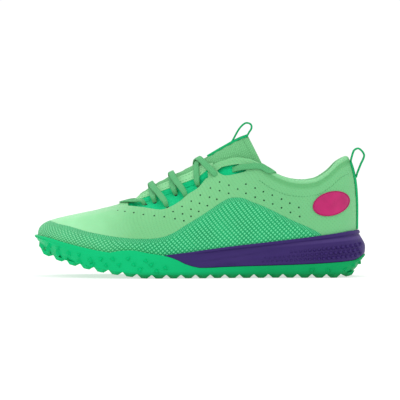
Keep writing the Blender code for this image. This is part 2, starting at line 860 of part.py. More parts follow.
def badge(name, outer, finish):
    # A plain oval patch on the quarter
    centre = place_at(*BADGE_PLACE)
    rows = []
    for step in range(BADGE_RINGS + 1):
        grow = step / BADGE_RINGS
        row = []
        for spoke in range(BADGE_SPOKES):
            turn = 2 * math.pi * spoke / BADGE_SPOKES
            along = BADGE_LENGTH / 2 * grow * math.cos(turn)
            rise = BADGE_HEIGHT / 2 * grow * math.sin(turn)
            x = centre.x + along * math.cos(BADGE_TILT) - rise * math.sin(BADGE_TILT)
            z = centre.z + along * math.sin(BADGE_TILT) + rise * math.cos(BADGE_TILT)
            angle, height = find(x, z, outer)
            row.append(skin(angle, height, -(BADGE_THICKNESS + CLEARANCE)))
        rows.append(row if outer else row[::-1])

    def build(work):
        middle = work.verts.new(rows[0][0])
        rings = [add_ring(work, row) for row in rows[:0:-1]]
        for wider, smaller in zip(rings, rings[1:]):
            bridge(work, wider, smaller)
        for i in range(BADGE_SPOKES):
            work.faces.new((middle, rings[-1][i], rings[-1][(i + 1) % BADGE_SPOKES]))

    return thicken(place(name, finish_mesh(name, build, outward_faces=False), finish), BADGE_THICKNESS)


# Laces

def on_skin(length, height, outer, lift):
    # A point over the upper and the direction that a lace's flat side faces there
    angle, rise = find(*place_at(length, height).xz, outer)
    return skin(angle, rise, -lift), last_normal(angle, rise)


def over_edge(x, outer, lift):
    # The same above the middle of the throat or collar edge
    angle, _ = find(x, COLLAR_HEIGHT, outer)
    top, normal = last_point(angle, 1.0), last_normal(angle, 1.0)
    pad = wall_at(angle, 1.0)
    away = normal.cross(last_point(angle + SLOPE_STEP, 1.0) - last_point(angle - SLOPE_STEP, 1.0)).normalized()
    away = away if away.z > 0 else -away
    return top - normal * pad / 2 + away * (pad * ROLL + lift), away


def section(x, outer_rise, inner_rise):
    # The taut line over the upper and the tongue at this length, from one eyelet's height to the other's
    points = []
    for side, low in ((True, outer_rise), (False, inner_rise)):
        rows = [low + (1 - low) * row / HULL_ROWS for row in range(HULL_ROWS + 1)]
        chain = []
        for rise in rows:
            first, last = 0.0, math.pi
            for _ in range(SEARCH_HALVES):
                turn = (first + last) / 2
                first, last = (turn, last) if last_point(turn if side else -turn, rise).x < x else (first, turn)
            chain.append(last_point(turn if side else -turn, rise))
        points += chain if side else chain[::-1]
    low, high = TONGUE_FROM, TONGUE_TO
    for _ in range(SEARCH_HALVES):
        along = (low + high) / 2
        low, high = (along, high) if SOLE_LENGTH * (read(TONGUE, 1, along) - 0.5) < x else (low, along)
    arch = tongue_arch(math.acos(1 - 2 * along))
    middle = len(points) // 2
    crown = [bezier(arch, step / TONGUE_ARCH) for step in range(TONGUE_ARCH + 1)]
    points = points[:middle] + crown + points[middle:]
    taut = []
    for point in points:
        flat = Vector((point.y, point.z))
        while len(taut) > 1:
            back = taut[-1] - taut[-2]
            ahead = flat - taut[-1]
            if back.x * ahead.y - back.y * ahead.x < 0:
                break
            taut.pop()
        taut.append(flat)
    return taut


def along_line(line, share):
    # The point at a share of a line's length
    lengths = [(b - a).length for a, b in zip(line, line[1:])]
    left = share * sum(lengths)
    index = 0
    while index < len(lengths) - 1 and left > lengths[index]:
        left -= lengths[index]
        index += 1
    way = (line[index + 1] - line[index]).normalized()
    return line[index] + way * left


def lace_strand(name, outer, inner, under, finish):
    # From the outer side's eyelet over the throat to the inner side's
    ends = [find(*place_at(*outer).xz, True), find(*place_at(*inner).xz, False)]
    half = LACE_THICKNESS / 2 + LACE_OVER
    points = []
    for step in range(LACE_POINTS + 1):
        share = step / LACE_POINTS
        arc = math.sin(math.pi * share)
        length = outer[0] + (inner[0] - outer[0]) * share - LACE_BOW * arc
        near, far = [Vector((x, *along_line(section(x, ends[0][1], ends[1][1]), share)))
                     for x in (SOLE_LENGTH * (length - 0.5), SOLE_LENGTH * (length - 0.5) + LACE_WIDTH / 2)]
        points.append((near, far - near, arc))
    route, ups = [], []
    for i, (point, lengthways, arc) in enumerate(points):
        before, after = points[max(i - 1, 0)][0], points[min(i + 1, LACE_POINTS)][0]
        away = lengthways.cross(after - before).normalized()
        route.append(point + away * (half + under * arc ** LACE_LIFT * (LACE_THICKNESS + LACE_OVER)))
        ups.append(away)

    def build(work):
        sweep(work, route, LACE_SIDES, LACE_WIDTH, LACE_THICKNESS, ups)

    return place(name, finish_mesh(name, build), finish)


def laces(finish):
    for number, (outer, inner, under) in enumerate(LACE_STRANDS, start=1):
        lace_strand("lace_" + str(number), outer, inner, under, finish)


def lace_end(name, outer, finish):
    # Flat on the eyestay, over the collar's edge and a little way down its inside
    half = LACE_THICKNESS / 2 + 2 * CLEARANCE
    route = [on_skin(length, height, outer, half) for length, height in LACE_END]
    angle, _ = find(*place_at(*LACE_END[-1]).xz, outer)
    route.append(over_edge(route[-1][0].x + LACE_WIDTH / 2, outer, half + 2 * END_OVER))
    for rise in LACE_END_INSIDE:
        route.append((skin(angle, rise, wall_at(angle, rise) + half + END_OVER), -last_normal(angle, rise)))
    path = curve_through([point for point, _ in route], LACE_STEPS)
    ups = curve_through([away for _, away in route], LACE_STEPS)

    def build(work):
        sweep(work, path, LACE_SIDES, LACE_WIDTH, LACE_THICKNESS, ups)

    return place(name, finish_mesh(name, build), finish)


clear_scene()
green_rubber = material("green rubber", GREEN_RUBBER)
purple_foam = material("purple foam", PURPLE_FOAM)
pale_skin = material("pale skin", PALE_SKIN)
green_textile = material("green textile", GREEN_TEXTILE)
pale_textile = material("pale textile", PALE_TEXTILE)
pale_lace = material("pale lace", PALE_LACE)
foam_liner = material("foam liner", FOAM_LINER)
magenta_film = material("magenta film", MAGENTA_FILM)

outsole(green_rubber)
midsole(purple_foam)
insole(foam_liner)
upper(pale_skin)
eyestay("eyestay_lateral", True, green_textile)
eyestay("eyestay_medial", False, green_textile)
tongue(pale_textile)
tongue_tape(green_textile)
loop("tongue_loop", TONGUE_LOOP, TONGUE_HEIGHT, green_textile)
heel_tape(green_textile)
loop("heel_loop", HEEL_LOOP, COLLAR_HEIGHT, green_textile)
badge("badge_lateral", True, magenta_film)
badge("badge_medial", False, magenta_film)
laces(pale_lace)
lace_end("lace_end_lateral", True, pale_lace)
lace_end("lace_end_medial", False, pale_lace)
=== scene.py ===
import functools
import math
import bmesh
import bpy
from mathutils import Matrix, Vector
from mathutils.bvhtree import BVHTree


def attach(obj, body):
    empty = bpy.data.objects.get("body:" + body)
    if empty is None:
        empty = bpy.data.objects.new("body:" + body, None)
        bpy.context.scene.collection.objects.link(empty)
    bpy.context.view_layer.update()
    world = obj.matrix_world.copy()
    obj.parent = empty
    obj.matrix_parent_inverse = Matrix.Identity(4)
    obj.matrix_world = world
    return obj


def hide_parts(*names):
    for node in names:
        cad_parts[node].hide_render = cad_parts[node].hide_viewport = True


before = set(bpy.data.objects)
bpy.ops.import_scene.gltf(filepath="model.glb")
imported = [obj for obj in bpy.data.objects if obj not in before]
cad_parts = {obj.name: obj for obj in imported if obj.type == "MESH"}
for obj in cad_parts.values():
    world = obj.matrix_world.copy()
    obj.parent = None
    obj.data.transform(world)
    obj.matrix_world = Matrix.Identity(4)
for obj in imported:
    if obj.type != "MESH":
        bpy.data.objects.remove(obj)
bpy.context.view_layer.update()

# Toe at -X, heel at +X, the left shoe's outer side at -Y; everything in metres.

print("stage: camera, light and floor")
studio = {"pixel": 0.0008464, "frame": 400, "sensor": 36.0, "distance": 3.0, "centre": (0.0003, 0.0, 0.0646),
          "rise": 1.3, "skyStrength": 1.04, "aim": (0, 0, 0.05)}
# name, place, size, power
lights = (("key", (-1.1, -1.7, 1.9), 1.6, 8.0), ("top", (0.2, 0.3, 2.2), 1.8, 10.0),
          ("fill", (1.8, -1.4, 0.8), 1.4, 2.0))


def addCamera():
    camera = bpy.data.cameras.new("camera")
    camera.sensor_width = studio["sensor"]
    camera.lens = studio["sensor"] * studio["distance"] / (studio["frame"] * studio["pixel"])
    camera.clip_end = 30.0
    made = bpy.data.objects.new("camera", camera)
    rise = math.radians(studio["rise"])
    made.location = Vector(studio["centre"]) + studio["distance"] * Vector((0, -math.cos(rise), math.sin(rise)))
    made.rotation_euler = (math.pi / 2 - rise, 0, 0)
    bpy.context.scene.collection.objects.link(made)
    bpy.context.scene.camera = made


def addLight(name, place, size, power):
    light = bpy.data.lights.new(name, "AREA")
    light.shape = "DISK"
    light.size = size
    light.energy = power
    made = bpy.data.objects.new(name, light)
    made.location = place
    made.rotation_euler = (Vector(studio["aim"]) - Vector(place)).to_track_quat("-Z", "Y").to_euler()
    bpy.context.scene.collection.objects.link(made)


def nodeIn(tree, kind, values=(), **settings):
    made = tree.nodes.new(kind)
    for name, value in settings.items():
        setattr(made, name, value)
    for socket, value in values:
        if isinstance(value, bpy.types.NodeSocket):
            tree.links.new(value, made.inputs[socket])
        else:
            made.inputs[socket].default_value = value
    return made


def mathOf(operation, *values):
    # A math node in the tree that the values' sockets belong to
    tree = next(value.id_data for value in values if isinstance(value, bpy.types.NodeSocket))
    return nodeIn(tree, "ShaderNodeMath", enumerate(values), operation=operation).outputs[0]


def plus(first, second):
    return mathOf("ADD", first, second)


def minus(first, second):
    return mathOf("SUBTRACT", first, second)


def times(first, second):
    return mathOf("MULTIPLY", first, second)


addCamera()
for row in lights:
    addLight(*row)
sky = bpy.data.worlds.new("sky")
sky.use_nodes = True
skyShader = sky.node_tree.nodes["Background"]
skyShader.inputs["Color"].default_value = (1.0, 1.0, 1.0, 1.0)
skyShader.inputs["Strength"].default_value = studio["skyStrength"]
bpy.context.scene.world = sky
bpy.context.scene.view_settings.view_transform = "Standard"

print("stage: shape of the last and the sole")
shoe = {
    "soleLength": 0.280, "ballWidth": 0.100, "toeOffset": 0.011, "rimHeight": 0.0395, "toeRimHeight": 0.0350,
    "lugHeight": 0.0030, "baseThickness": 0.0030, "rimWall": 0.0022, "tuck": 0.0040, "collarHeight": 0.1005,
    "wall": 0.0020, "collarPad": 0.0065, "underlay": 0.0012, "tongueThickness": 0.0035, "tongueHeight": 0.1195,
    "insoleThickness": 0.0040, "clearance": 0.0003, "toeRound": 0.20, "heelRound": 0.135, "throatFront": 0.252,
    "collarBack": 0.950, "throatRound": 0.07, "collarRound": 0.24, "throatTurn": 0.050, "padDepth": 0.035,
    "roll": 0.42, "tongueShoulder": 0.20, "halfRing": 72, "heelSet": 0.0045, "heelSetFrom": 0.90,
    "underlayGap": 0.0007,
}
# share of the length, outer side, inner side
outlineRows = ((0.000, -0.330, 0.460), (0.060, -0.365, 0.470), (0.140, -0.415, 0.490), (0.240, -0.465, 0.500),
               (0.335, -0.500, 0.485), (0.450, -0.470, 0.390), (0.590, -0.405, 0.300), (0.720, -0.360, 0.300),
               (0.840, -0.350, 0.335), (1.000, -0.360, 0.350))
# share of the length, rim, green wall top
rimRows = ((0.000, 0.886, 0.886), (0.037, 0.848, 0.848), (0.092, 0.749, 0.749), (0.148, 0.658, 0.658),
           (0.217, 0.565, 0.565), (0.235, 0.548, 0.548), (0.262, 0.594, 0.594), (0.300, 0.600, 0.600),
           (0.338, 0.547, 0.547), (0.392, 0.487, 0.487), (0.423, 0.514, 0.425), (0.465, 0.550, 0.285),
           (0.505, 0.590, 0.222), (0.600, 0.678, 0.245), (0.700, 0.757, 0.262), (0.800, 0.840, 0.285),
           (0.900, 0.933, 0.325), (0.965, 0.990, 0.367), (1.000, 1.000, 0.490))
# share of the length, height of the underside
groundRows = ((0.000, 0.760), (0.013, 0.680), (0.037, 0.525), (0.068, 0.428), (0.106, 0.330), (0.145, 0.245),
              (0.196, 0.160), (0.235, 0.105), (0.290, 0.045), (0.345, 0.000), (0.920, 0.000), (0.956, 0.060),
              (0.979, 0.190), (1.000, 0.330))
# share of the length, how far the wall leans in at its foot
leanRows = ((0.000, 0.095), (0.060, 0.070), (0.150, 0.035), (0.300, 0.022), (0.600, 0.018), (0.880, 0.025),
            (1.000, 0.065))
# share from the throat to the back of the collar, height, half width outside and inside
edgeRows = ((0.000, 0.606, 0.105, 0.105), (0.045, 0.628, 0.120, 0.120), (0.095, 0.655, 0.135, 0.135),
            (0.180, 0.718, 0.155, 0.155), (0.285, 0.795, 0.170, 0.170), (0.350, 0.850, 0.178, 0.178),
            (0.400, 0.925, 0.182, 0.180), (0.440, 0.965, 0.187, 0.183), (0.515, 1.000, 0.205, 0.195),
            (0.555, 0.990, 0.225, 0.208), (0.605, 0.950, 0.255, 0.233), (0.680, 0.856, 0.300, 0.275),
            (0.750, 0.806, 0.320, 0.295), (0.800, 0.796, 0.315, 0.300), (0.850, 0.808, 0.300, 0.295),
            (0.905, 0.868, 0.290, 0.290), (0.955, 0.955, 0.290, 0.290), (1.000, 1.000, 0.290, 0.290))
# turn from the toe, bulge below and above, height of the handles below and above
ribRows = ((0.00, 0.000, 0.480, 0.600, 0.500), (0.10, 0.002, 0.440, 0.580, 0.420),
           (0.20, 0.008, 0.340, 0.530, 0.300), (0.30, 0.014, 0.240, 0.470, 0.280),
           (0.42, 0.012, 0.150, 0.420, 0.300), (0.54, 0.004, 0.085, 0.380, 0.340),
           (0.64, -0.003, 0.045, 0.360, 0.360), (0.78, 0.005, 0.050, 0.360, 0.360),
           (0.90, 0.004, 0.070, 0.340, 0.320), (1.00, 0.000, 0.085, 0.340, 0.300))
# share from the throat to the back of the collar, share of the collar's padding
paddingRows = ((0.000, 0.00), (0.520, 0.00), (0.640, 0.75), (0.800, 0.90), (1.000, 1.00))
# share of the edge, share of the length, height
tongueRows = ((0.040, 0.275, 0.490), (0.070, 0.298, 0.530), (0.100, 0.320, 0.585), (0.200, 0.385, 0.680),
              (0.310, 0.450, 0.752), (0.400, 0.505, 0.825), (0.500, 0.570, 0.915), (0.590, 0.622, 0.980),
              (0.630, 0.645, 1.000))
tongueStretch = {"start": 0.045, "end": 0.630, "search": 0.635}


def readTable(rows, column, share):
    # A smooth curve through one column that never overshoots
    if share <= rows[0][0]:
        return rows[0][column]
    if share >= rows[-1][0]:
        return rows[-1][column]
    index = max(i for i, row in enumerate(rows[:-1]) if row[0] <= share)

    def slope(i):
        return (rows[i + 1][column] - rows[i][column]) / (rows[i + 1][0] - rows[i][0])

    def tangent(i):
        if i == 0:
            return slope(0)
        if i == len(rows) - 1:
            return slope(i - 1)
        before, after = slope(i - 1), slope(i)
        return 0.0 if before * after <= 0 else 2 * before * after / (before + after)

    low, high = rows[index], rows[index + 1]
    width = high[0] - low[0]
    t = (share - low[0]) / width
    return ((2 * t ** 3 - 3 * t ** 2 + 1) * low[column] + (t ** 3 - 2 * t ** 2 + t) * width * tangent(index)
            + (3 * t ** 2 - 2 * t ** 3) * high[column] + (t ** 3 - t ** 2) * width * tangent(index + 1))


def smoothStep(low, high, value):
    t = min(max((value - low) / (high - low), 0.0), 1.0)
    return t * t * (3 - 2 * t)


def roundEnd(share, reach):
    return math.sqrt(max(0.0, 1 - max(0.0, 1 - share / reach) ** 2))


def shareOf(angle):
    return (1 - math.cos(angle)) / 2


def angleOf(share):
    return math.acos(1 - 2 * share)


def shareAt(x):
    return x / shoe["soleLength"] + 0.5


def lengthAt(share):
    return shoe["soleLength"] * (share - 0.5)


@functools.lru_cache(maxsize=None)
def outline(angle):
    share = shareOf(angle)
    line = shoe["ballWidth"] * readTable(outlineRows, 1 if math.sin(angle) >= 0 else 2, share)
    line = shoe["toeOffset"] + (line - shoe["toeOffset"]) * roundEnd(share, shoe["toeRound"])
    line = line * roundEnd(1 - share, shoe["heelRound"])
    return Vector((lengthAt(share), line, 0.0))


def outwardOf(path, angle, step=0.004):
    along = path(angle + step) - path(angle - step)
    return Vector((along.y, -along.x, 0.0)).normalized()


@functools.lru_cache(maxsize=None)
def soleOut(angle):
    return outwardOf(outline, angle)


def rimAt(share):
    return shoe["rimHeight"] * readTable(rimRows, 1, share)


def wallTop(share):
    return shoe["rimHeight"] * readTable(rimRows, 2, share)


def groundAt(x):
    return shoe["toeRimHeight"] * readTable(groundRows, 1, shareAt(x))


def footAt(x):
    # Underside of the rubber between its lugs
    return groundAt(x) + shoe["lugHeight"]


def leanAt(share):
    return shoe["ballWidth"] * readTable(leanRows, 1, share)


def heelSet(share):
    # How far the upper and the foam's top edge stand in from the sole's outline at the heel
    return shoe["heelSet"] * smoothStep(shoe["heelSetFrom"], 1.0, share)


def bedAt(share):
    return rimAt(share) - shoe["tuck"] - shoe["clearance"]


ringAngles = [math.pi * k / shoe["halfRing"] for k in range(2 * shoe["halfRing"])]


def ringOf(inset, height):
    points = []
    for angle in ringAngles:
        share = shareOf(angle)
        point = outline(angle) - soleOut(angle) * inset(share)
        point.z = height(share, point.x)
        points.append(point)
    return points


@functools.lru_cache(maxsize=None)
def edgeLine(angle):
    along = shareOf(angle)
    share = shoe["throatFront"] + (shoe["collarBack"] - shoe["throatFront"]) * along
    outer = math.sin(angle) >= 0
    half = shoe["ballWidth"] * readTable(edgeRows, 2 if outer else 3, along)
    half *= roundEnd(along, shoe["throatRound"]) * roundEnd(1 - along, shoe["collarRound"])
    centre = shoe["ballWidth"] * shoe["throatTurn"] * (1 - smoothStep(0.0, 0.7, along))
    height = shoe["collarHeight"] * readTable(edgeRows, 1, along)
    return Vector((lengthAt(share), centre + (-half if outer else half), height))


@functools.lru_cache(maxsize=None)
def ribOf(angle):
    share = shareOf(angle)
    turn = abs(math.remainder(angle, 2 * math.pi)) / math.pi
    foot = outline(angle) - soleOut(angle) * (shoe["rimWall"] + shoe["clearance"] + heelSet(share))
    foot.z = rimAt(share)
    top = edgeLine(angle)
    height = top.z - foot.z
    low, high, lowRise, highRise = [readTable(ribRows, column, turn) for column in range(1, 5)]
    width, up = shoe["ballWidth"], Vector((0, 0, 1))
    first = foot + soleOut(angle) * width * low + up * height * lowRise
    second = top + outwardOf(edgeLine, angle) * width * high - up * height * highRise
    return foot, first, second, top


def bezierAt(handles, share):
    start, first, second, end = handles
    left = 1 - share
    return start * left ** 3 + first * 3 * share * left ** 2 + second * 3 * share ** 2 * left + end * share ** 3


def lastPoint(angle, rise):
    return bezierAt(ribOf(angle), rise)


def lastNormal(angle, rise, step=0.004):
    low, high = max(rise - step, 0.0), min(rise + step, 1.0)
    around = lastPoint(angle + step, rise) - lastPoint(angle - step, rise)
    upward = lastPoint(angle, high) - lastPoint(angle, low)
    return around.cross(upward).normalized()


def wallAt(angle, rise):
    pad = shoe["wall"] + (shoe["collarPad"] - shoe["wall"]) * readTable(paddingRows, 1, shareOf(angle))
    below = (lastPoint(angle, 1.0) - lastPoint(angle, rise)).length
    return shoe["wall"] + (pad - shoe["wall"]) * (1 - smoothStep(0.25 * shoe["padDepth"], shoe["padDepth"], below))


def skinPoint(angle, rise, depth):
    return lastPoint(angle, rise) - lastNormal(angle, rise) * depth


def photoPlace(px, py):
    # A point of the side view, from its pixel in the 400 px frame
    return (px - 199.6) * studio["pixel"], (276.3 - py) * studio["pixel"]


def curveThrough(points, steps):
    ends = [points[0] * 2 - points[1]] + list(points) + [points[-1] * 2 - points[-2]]
    path = []
    for i in range(1, len(ends) - 2):
        before, start, end, after = ends[i - 1:i + 3]
        for s in range(steps):
            t = s / steps
            path.append(0.5 * (2 * start + (end - before) * t + (2 * before - 5 * start + 4 * end - after) * t ** 2
                               + (3 * start - before - 3 * end + after) * t ** 3))
    return path + [points[-1]]


def lineLength(path):
    return sum((b - a).length for a, b in zip(path, path[1:]))


# Meshes

def meshPiece(name, work):
    mesh = bpy.data.meshes.new(name)
    work.to_mesh(mesh)
    work.free()
    made = bpy.data.objects.new(name, mesh)
    bpy.context.scene.collection.objects.link(made)
    return made


def shade(made, angle):
    made.data.shade_smooth()
    made.data.set_sharp_from_angle(angle=math.radians(angle))


def placeMesh(name, work, material, smooth=50):
    made = meshPiece(name, work)
    made.data.materials.append(material)
    shade(made, smooth)
    return made


def uvLayers(work, maps):
    # maps: UV map name and a function of row and column
    return [(work.loops.layers.uv.new(name), place) for name, place in maps]


def addFace(work, verts, corners, layers):
    face = work.faces.new(verts)
    for layer, place in layers:
        for loop, corner in zip(face.loops, corners):
            loop[layer].uv = place(*corner)


def joinRings(rings, maps=(), closed=False, capped=False):
    # Closed rings joined row by row
    work = bmesh.new()
    layers = uvLayers(work, maps)
    rows = [[work.verts.new(point) for point in ring] for ring in rings]
    count = len(rings[0])
    for r in range(len(rows) if closed else len(rows) - 1):
        row, following = rows[r], rows[(r + 1) % len(rows)]
        for c in range(count):
            n = (c + 1) % count
            addFace(work, (row[c], row[n], following[n], following[c]),
                    ((r, c), (r, c + 1), (r + 1, c + 1), (r + 1, c)), layers)
    if capped:
        work.faces.new(rows[0])
        work.faces.new(rows[-1])
    bmesh.ops.remove_doubles(work, verts=work.verts, dist=1e-6)
    bmesh.ops.dissolve_degenerate(work, edges=work.edges, dist=1e-7)
    bmesh.ops.recalc_face_normals(work, faces=work.faces)
    return work


def loft(name, rings, material, maps=(), closed=False, smooth=50):
    return placeMesh(name, joinRings(rings, maps, closed), material, smooth)


def slab(name, outer, inner, material, maps, smooth=50):
    # Two sheets of the same grid, closed round their border
    work = bmesh.new()
    layers = uvLayers(work, maps)
    rows, columns = len(outer), len(outer[0])
    top, low = [[[work.verts.new(point) for point in row] for row in sheet] for sheet in (outer, inner)]
    for r in range(rows - 1):
        for c in range(columns - 1):
            corners = ((r, c), (r, c + 1), (r + 1, c + 1), (r + 1, c))
            addFace(work, [top[a][b] for a, b in corners], corners, layers)
            addFace(work, [low[a][b] for a, b in corners[::-1]], corners[::-1], layers)
    border = [(0, c) for c in range(columns)] + [(r, columns - 1) for r in range(1, rows)]
    border += [(rows - 1, c) for c in range(columns - 2, -1, -1)] + [(r, 0) for r in range(rows - 2, 0, -1)]
    for (a, b), (c, d) in zip(border, border[1:] + border[:1]):
        addFace(work, (top[c][d], top[a][b], low[a][b], low[c][d]), ((c, d), (a, b), (a, b), (c, d)), layers)
    bmesh.ops.recalc_face_normals(work, faces=work.faces)
    return placeMesh(name, work, material, smooth)


def band(name, path, ups, width, thickness, material, sides=16, power=0.55, grow=None):
    # A flat woven band along a path, its UV map in metres: along it and round it
    rings, lengths = [], [0.0]
    for i, point in enumerate(path):
        along = (path[min(i + 1, len(path) - 1)] - path[max(i - 1, 0)]).normalized()
        across = along.cross(ups[i]).normalized()
        flat = across.cross(along).normalized()
        wide = width * (grow(i / (len(path) - 1)) if grow else 1.0)
        section = []
        for s in range(sides):
            a = 2 * math.pi * s / sides
            c, h = math.cos(a), math.sin(a)
            section.append(point + across * wide / 2 * math.copysign(abs(c) ** power, c)
                           + flat * thickness / 2 * math.copysign(abs(h) ** power, h))
        rings.append(section)
        if i:
            lengths.append(lengths[-1] + (point - path[i - 1]).length)
    start, end = [path[0]] * sides, [path[-1]] * sides
    lengths = [lengths[0]] + lengths + [lengths[-1]]
    around = 2 * (width + thickness)
    return loft(name, [start] + rings + [end], material,
                (("weave", lambda row, column: (lengths[row], around * column / sides)),), smooth=60)


def plainMesh(made):
    # The evaluated shape as a plain mesh, its modifiers gone
    graph = bpy.context.evaluated_depsgraph_get()
    mesh = bpy.data.meshes.new_from_object(made.evaluated_get(graph))
    made.modifiers.clear()
    made.data = mesh


def cutBy(made, rings, name, smooth):
    cutter = meshPiece(name, joinRings(rings, capped=len(rings) == 2))
    boolean = made.modifiers.new("cut", "BOOLEAN")
    boolean.operation = "DIFFERENCE"
    boolean.solver = "EXACT"
    boolean.object = cutter
    plainMesh(made)
    bpy.data.objects.remove(cutter)
    shade(made, smooth)


def dress(made, node):
    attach(made, "root")
    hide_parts(node)


def treeOf(made):
    mesh = made.data
    return BVHTree.FromPolygons([v.co for v in mesh.vertices], [tuple(p.vertices) for p in mesh.polygons])


def onSurface(tree, x, z, outer):
    # Where a level ray from the outer or inner side meets a piece, and the normal there
    side = -1 if outer else 1
    place, normal, _, _ = tree.ray_cast(Vector((x, side * 0.2, z)), Vector((0, -side, 0)))
    if place is None:
        return None
    return place, normal if normal.y * side > 0 else -normal


def bothSides(tree, x, z):
    return [found for found in (onSurface(tree, x, z, outer) for outer in (True, False)) if found]


# Geometry Nodes that repeat a small form over marked points

def repeatTree(name, form, material):
    tree = bpy.data.node_groups.new(name, "GeometryNodeTree")
    inputs = [("Geometry", "Geometry"), ("Seed", "Int")]
    inputs += [(label, "Float") for label in ("Length", "Width", "Height", "Top share", "Spread")]
    for label, kind in inputs:
        tree.interface.new_socket(label, in_out="INPUT", socket_type="NodeSocket" + kind)
    tree.interface.new_socket("Geometry", in_out="OUTPUT", socket_type="NodeSocketGeometry")
    entry = tree.nodes.new("NodeGroupInput").outputs
    leave = tree.nodes.new("NodeGroupOutput")

    def add(kind, *values, **settings):
        return nodeIn(tree, kind, values, **settings).outputs

    if form == "bead":
        shape = add("GeometryNodeMeshUVSphere", ("Segments", 8), ("Rings", 5), ("Radius", 0.5))["Mesh"]
    else:
        cone = add("GeometryNodeMeshCone", ("Vertices", form), ("Radius Top", entry["Top share"]),
                   ("Radius Bottom", 1.0), ("Depth", 1.0))
        shape = add("GeometryNodeTransform", ("Geometry", cone["Mesh"]), ("Scale", (0.5, 0.5, 1.0)))[0]
    size = add("ShaderNodeCombineXYZ", (0, entry["Length"]), (1, entry["Width"]), (2, entry["Height"]))[0]
    sized = add("GeometryNodeTransform", ("Geometry", shape), ("Scale", size))[0]
    up, way, grow = [add("GeometryNodeInputNamedAttribute", ("Name", label), data_type=kind)[0]
                     for label, kind in spotLayers]
    raised = add("FunctionNodeAlignRotationToVector", ("Vector", up), axis="Z")[0]
    turned = add("FunctionNodeAlignRotationToVector", ("Rotation", raised), ("Vector", way), axis="X",
                 pivot_axis="Z")[0]
    chance = add("FunctionNodeRandomValue", ("Seed", entry["Seed"]), (2, minus(1.0, entry["Spread"])),
                 (3, plus(1.0, entry["Spread"])), data_type="FLOAT")[1]
    spots = add("GeometryNodeMeshToPoints", ("Mesh", entry["Geometry"]))[0]
    many = add("GeometryNodeInstanceOnPoints", ("Points", spots), ("Instance", sized), ("Rotation", turned),
               ("Scale", times(grow, chance)))[0]
    real = add("GeometryNodeRealizeInstances", ("Geometry", many))[0]
    smooth = add("GeometryNodeSetShadeSmooth", ("Geometry", real), ("Shade Smooth", form == "bead"))[0]
    painted = add("GeometryNodeSetMaterial", ("Geometry", smooth), ("Material", material))[0]
    tree.links.new(painted, leave.inputs[0])
    return tree


# what each spot holds besides its place: outward direction, lengthways direction, growth
spotLayers = (("upward", "FLOAT_VECTOR"), ("way", "FLOAT_VECTOR"), ("grow", "FLOAT"))
repeatSeed = 3


def repeatForm(name, spots, form, size, material, top=0.5, spread=0.0):
    # form: a bead or a number of sides; size: length, width and height
    mesh = bpy.data.meshes.new(name)
    mesh.from_pydata([spot[0] for spot in spots], [], [])
    for column, (label, kind) in enumerate(spotLayers, start=1):
        layer = mesh.attributes.new(label, kind, "POINT")
        for i, spot in enumerate(spots):
            setattr(layer.data[i], "value" if kind == "FLOAT" else "vector", spot[column])
    made = bpy.data.objects.new(name, mesh)
    bpy.context.scene.collection.objects.link(made)
    modifier = made.modifiers.new("repeat", "NODES")
    modifier.node_group = repeatTree(name + " nodes", form, material)
    values = {"Length": size[0], "Width": size[1], "Height": size[2], "Top share": top, "Spread": spread,
              "Seed": repeatSeed}
    for item in modifier.node_group.interface.items_tree:
        if item.in_out == "INPUT" and item.name in values:
            modifier[item.identifier] = values[item.name]
    plainMesh(made)
    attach(made, "root")


print("stage: materials")
finishes = {
    # rubber: the dark tone serves random tone and painted shade toward the heel, the last tone is painted shade low
    # on the lugs
    "rubber": {"light": (0.001, 0.520, 0.185), "dark": (0.0003, 0.300, 0.085), "lugShade": (0.001, 0.165, 0.040)},
    # foam: the last tone is a painted highlight on an upward facet near the heel
    "foam": {"light": (0.049, 0.020, 0.158), "dark": (0.024, 0.008, 0.102), "facetHighlight": (0.066, 0.038, 0.175)},
    # the first tone of the upper is a painted highlight: over the toes, on the netting at the toe and along the
    # collar's roll
    "paintedHighlight": (0.325, 0.750, 0.390), "vamp": (0.170, 0.515, 0.215), "quarter": (0.152, 0.490, 0.205),
    "collar": (0.135, 0.470, 0.180), "collarGap": (0.110, 0.420, 0.155), "pinhole": (0.050, 0.260, 0.085),
    "meshThread": (0.004, 0.370, 0.125), "meshPad": (0.115, 0.660, 0.300), "meshDeep": (0.002, 0.290, 0.095),
    "lining": (0.060, 0.260, 0.100), "liningGap": (0.035, 0.170, 0.060), "floor": (0.450, 0.450, 0.450),
    "floorDark": (0.430, 0.430, 0.430), "floorLight": (0.460, 0.460, 0.460),
    "meshPitch": 0.0037, "pinholePitch": 0.0034, "knitPitch": (0.0014, 0.0011), "floorGlow": 0.62,
}
# pitch of the weave, roughness, sheen, tones of its threads and of their gaps
cloths = {
    "underlay cloth": (0.0011, 0.60, 0.00, (0.001, 0.620, 0.250), (0.0005, 0.520, 0.200)),
    "tongue cloth": (0.0024, 0.85, 0.12, (0.210, 0.620, 0.275), (0.095, 0.360, 0.135)),
    "lace cloth": (0.0014, 0.75, 0.08, (0.160, 0.560, 0.235), (0.060, 0.320, 0.120)),
    "tape cloth": (0.0010, 0.70, 0.00, (0.008, 0.520, 0.185), (0.003, 0.340, 0.110)),
    "strip cloth": (0.0016, 0.60, 0.00, (0.380, 0.800, 0.430), (0.190, 0.560, 0.240)),
    "insole cloth": (0.0020, 0.90, 0.30, (0.140, 0.480, 0.200), (0.070, 0.300, 0.110)),
}
# tone, roughness, coat
films = {
    "badge film": ((0.520, 0.014, 0.145), 0.38, 0.25), "badge rim": ((0.420, 0.012, 0.120), 0.45, 0.10),
    "aglet film": ((0.110, 0.460, 0.180), 0.25, 0.40),
}
threads = {"stitch thread": (0.100, 0.420, 0.160), "pale thread": (0.330, 0.740, 0.380),
           "hole shade": (0.003, 0.055, 0.018)}
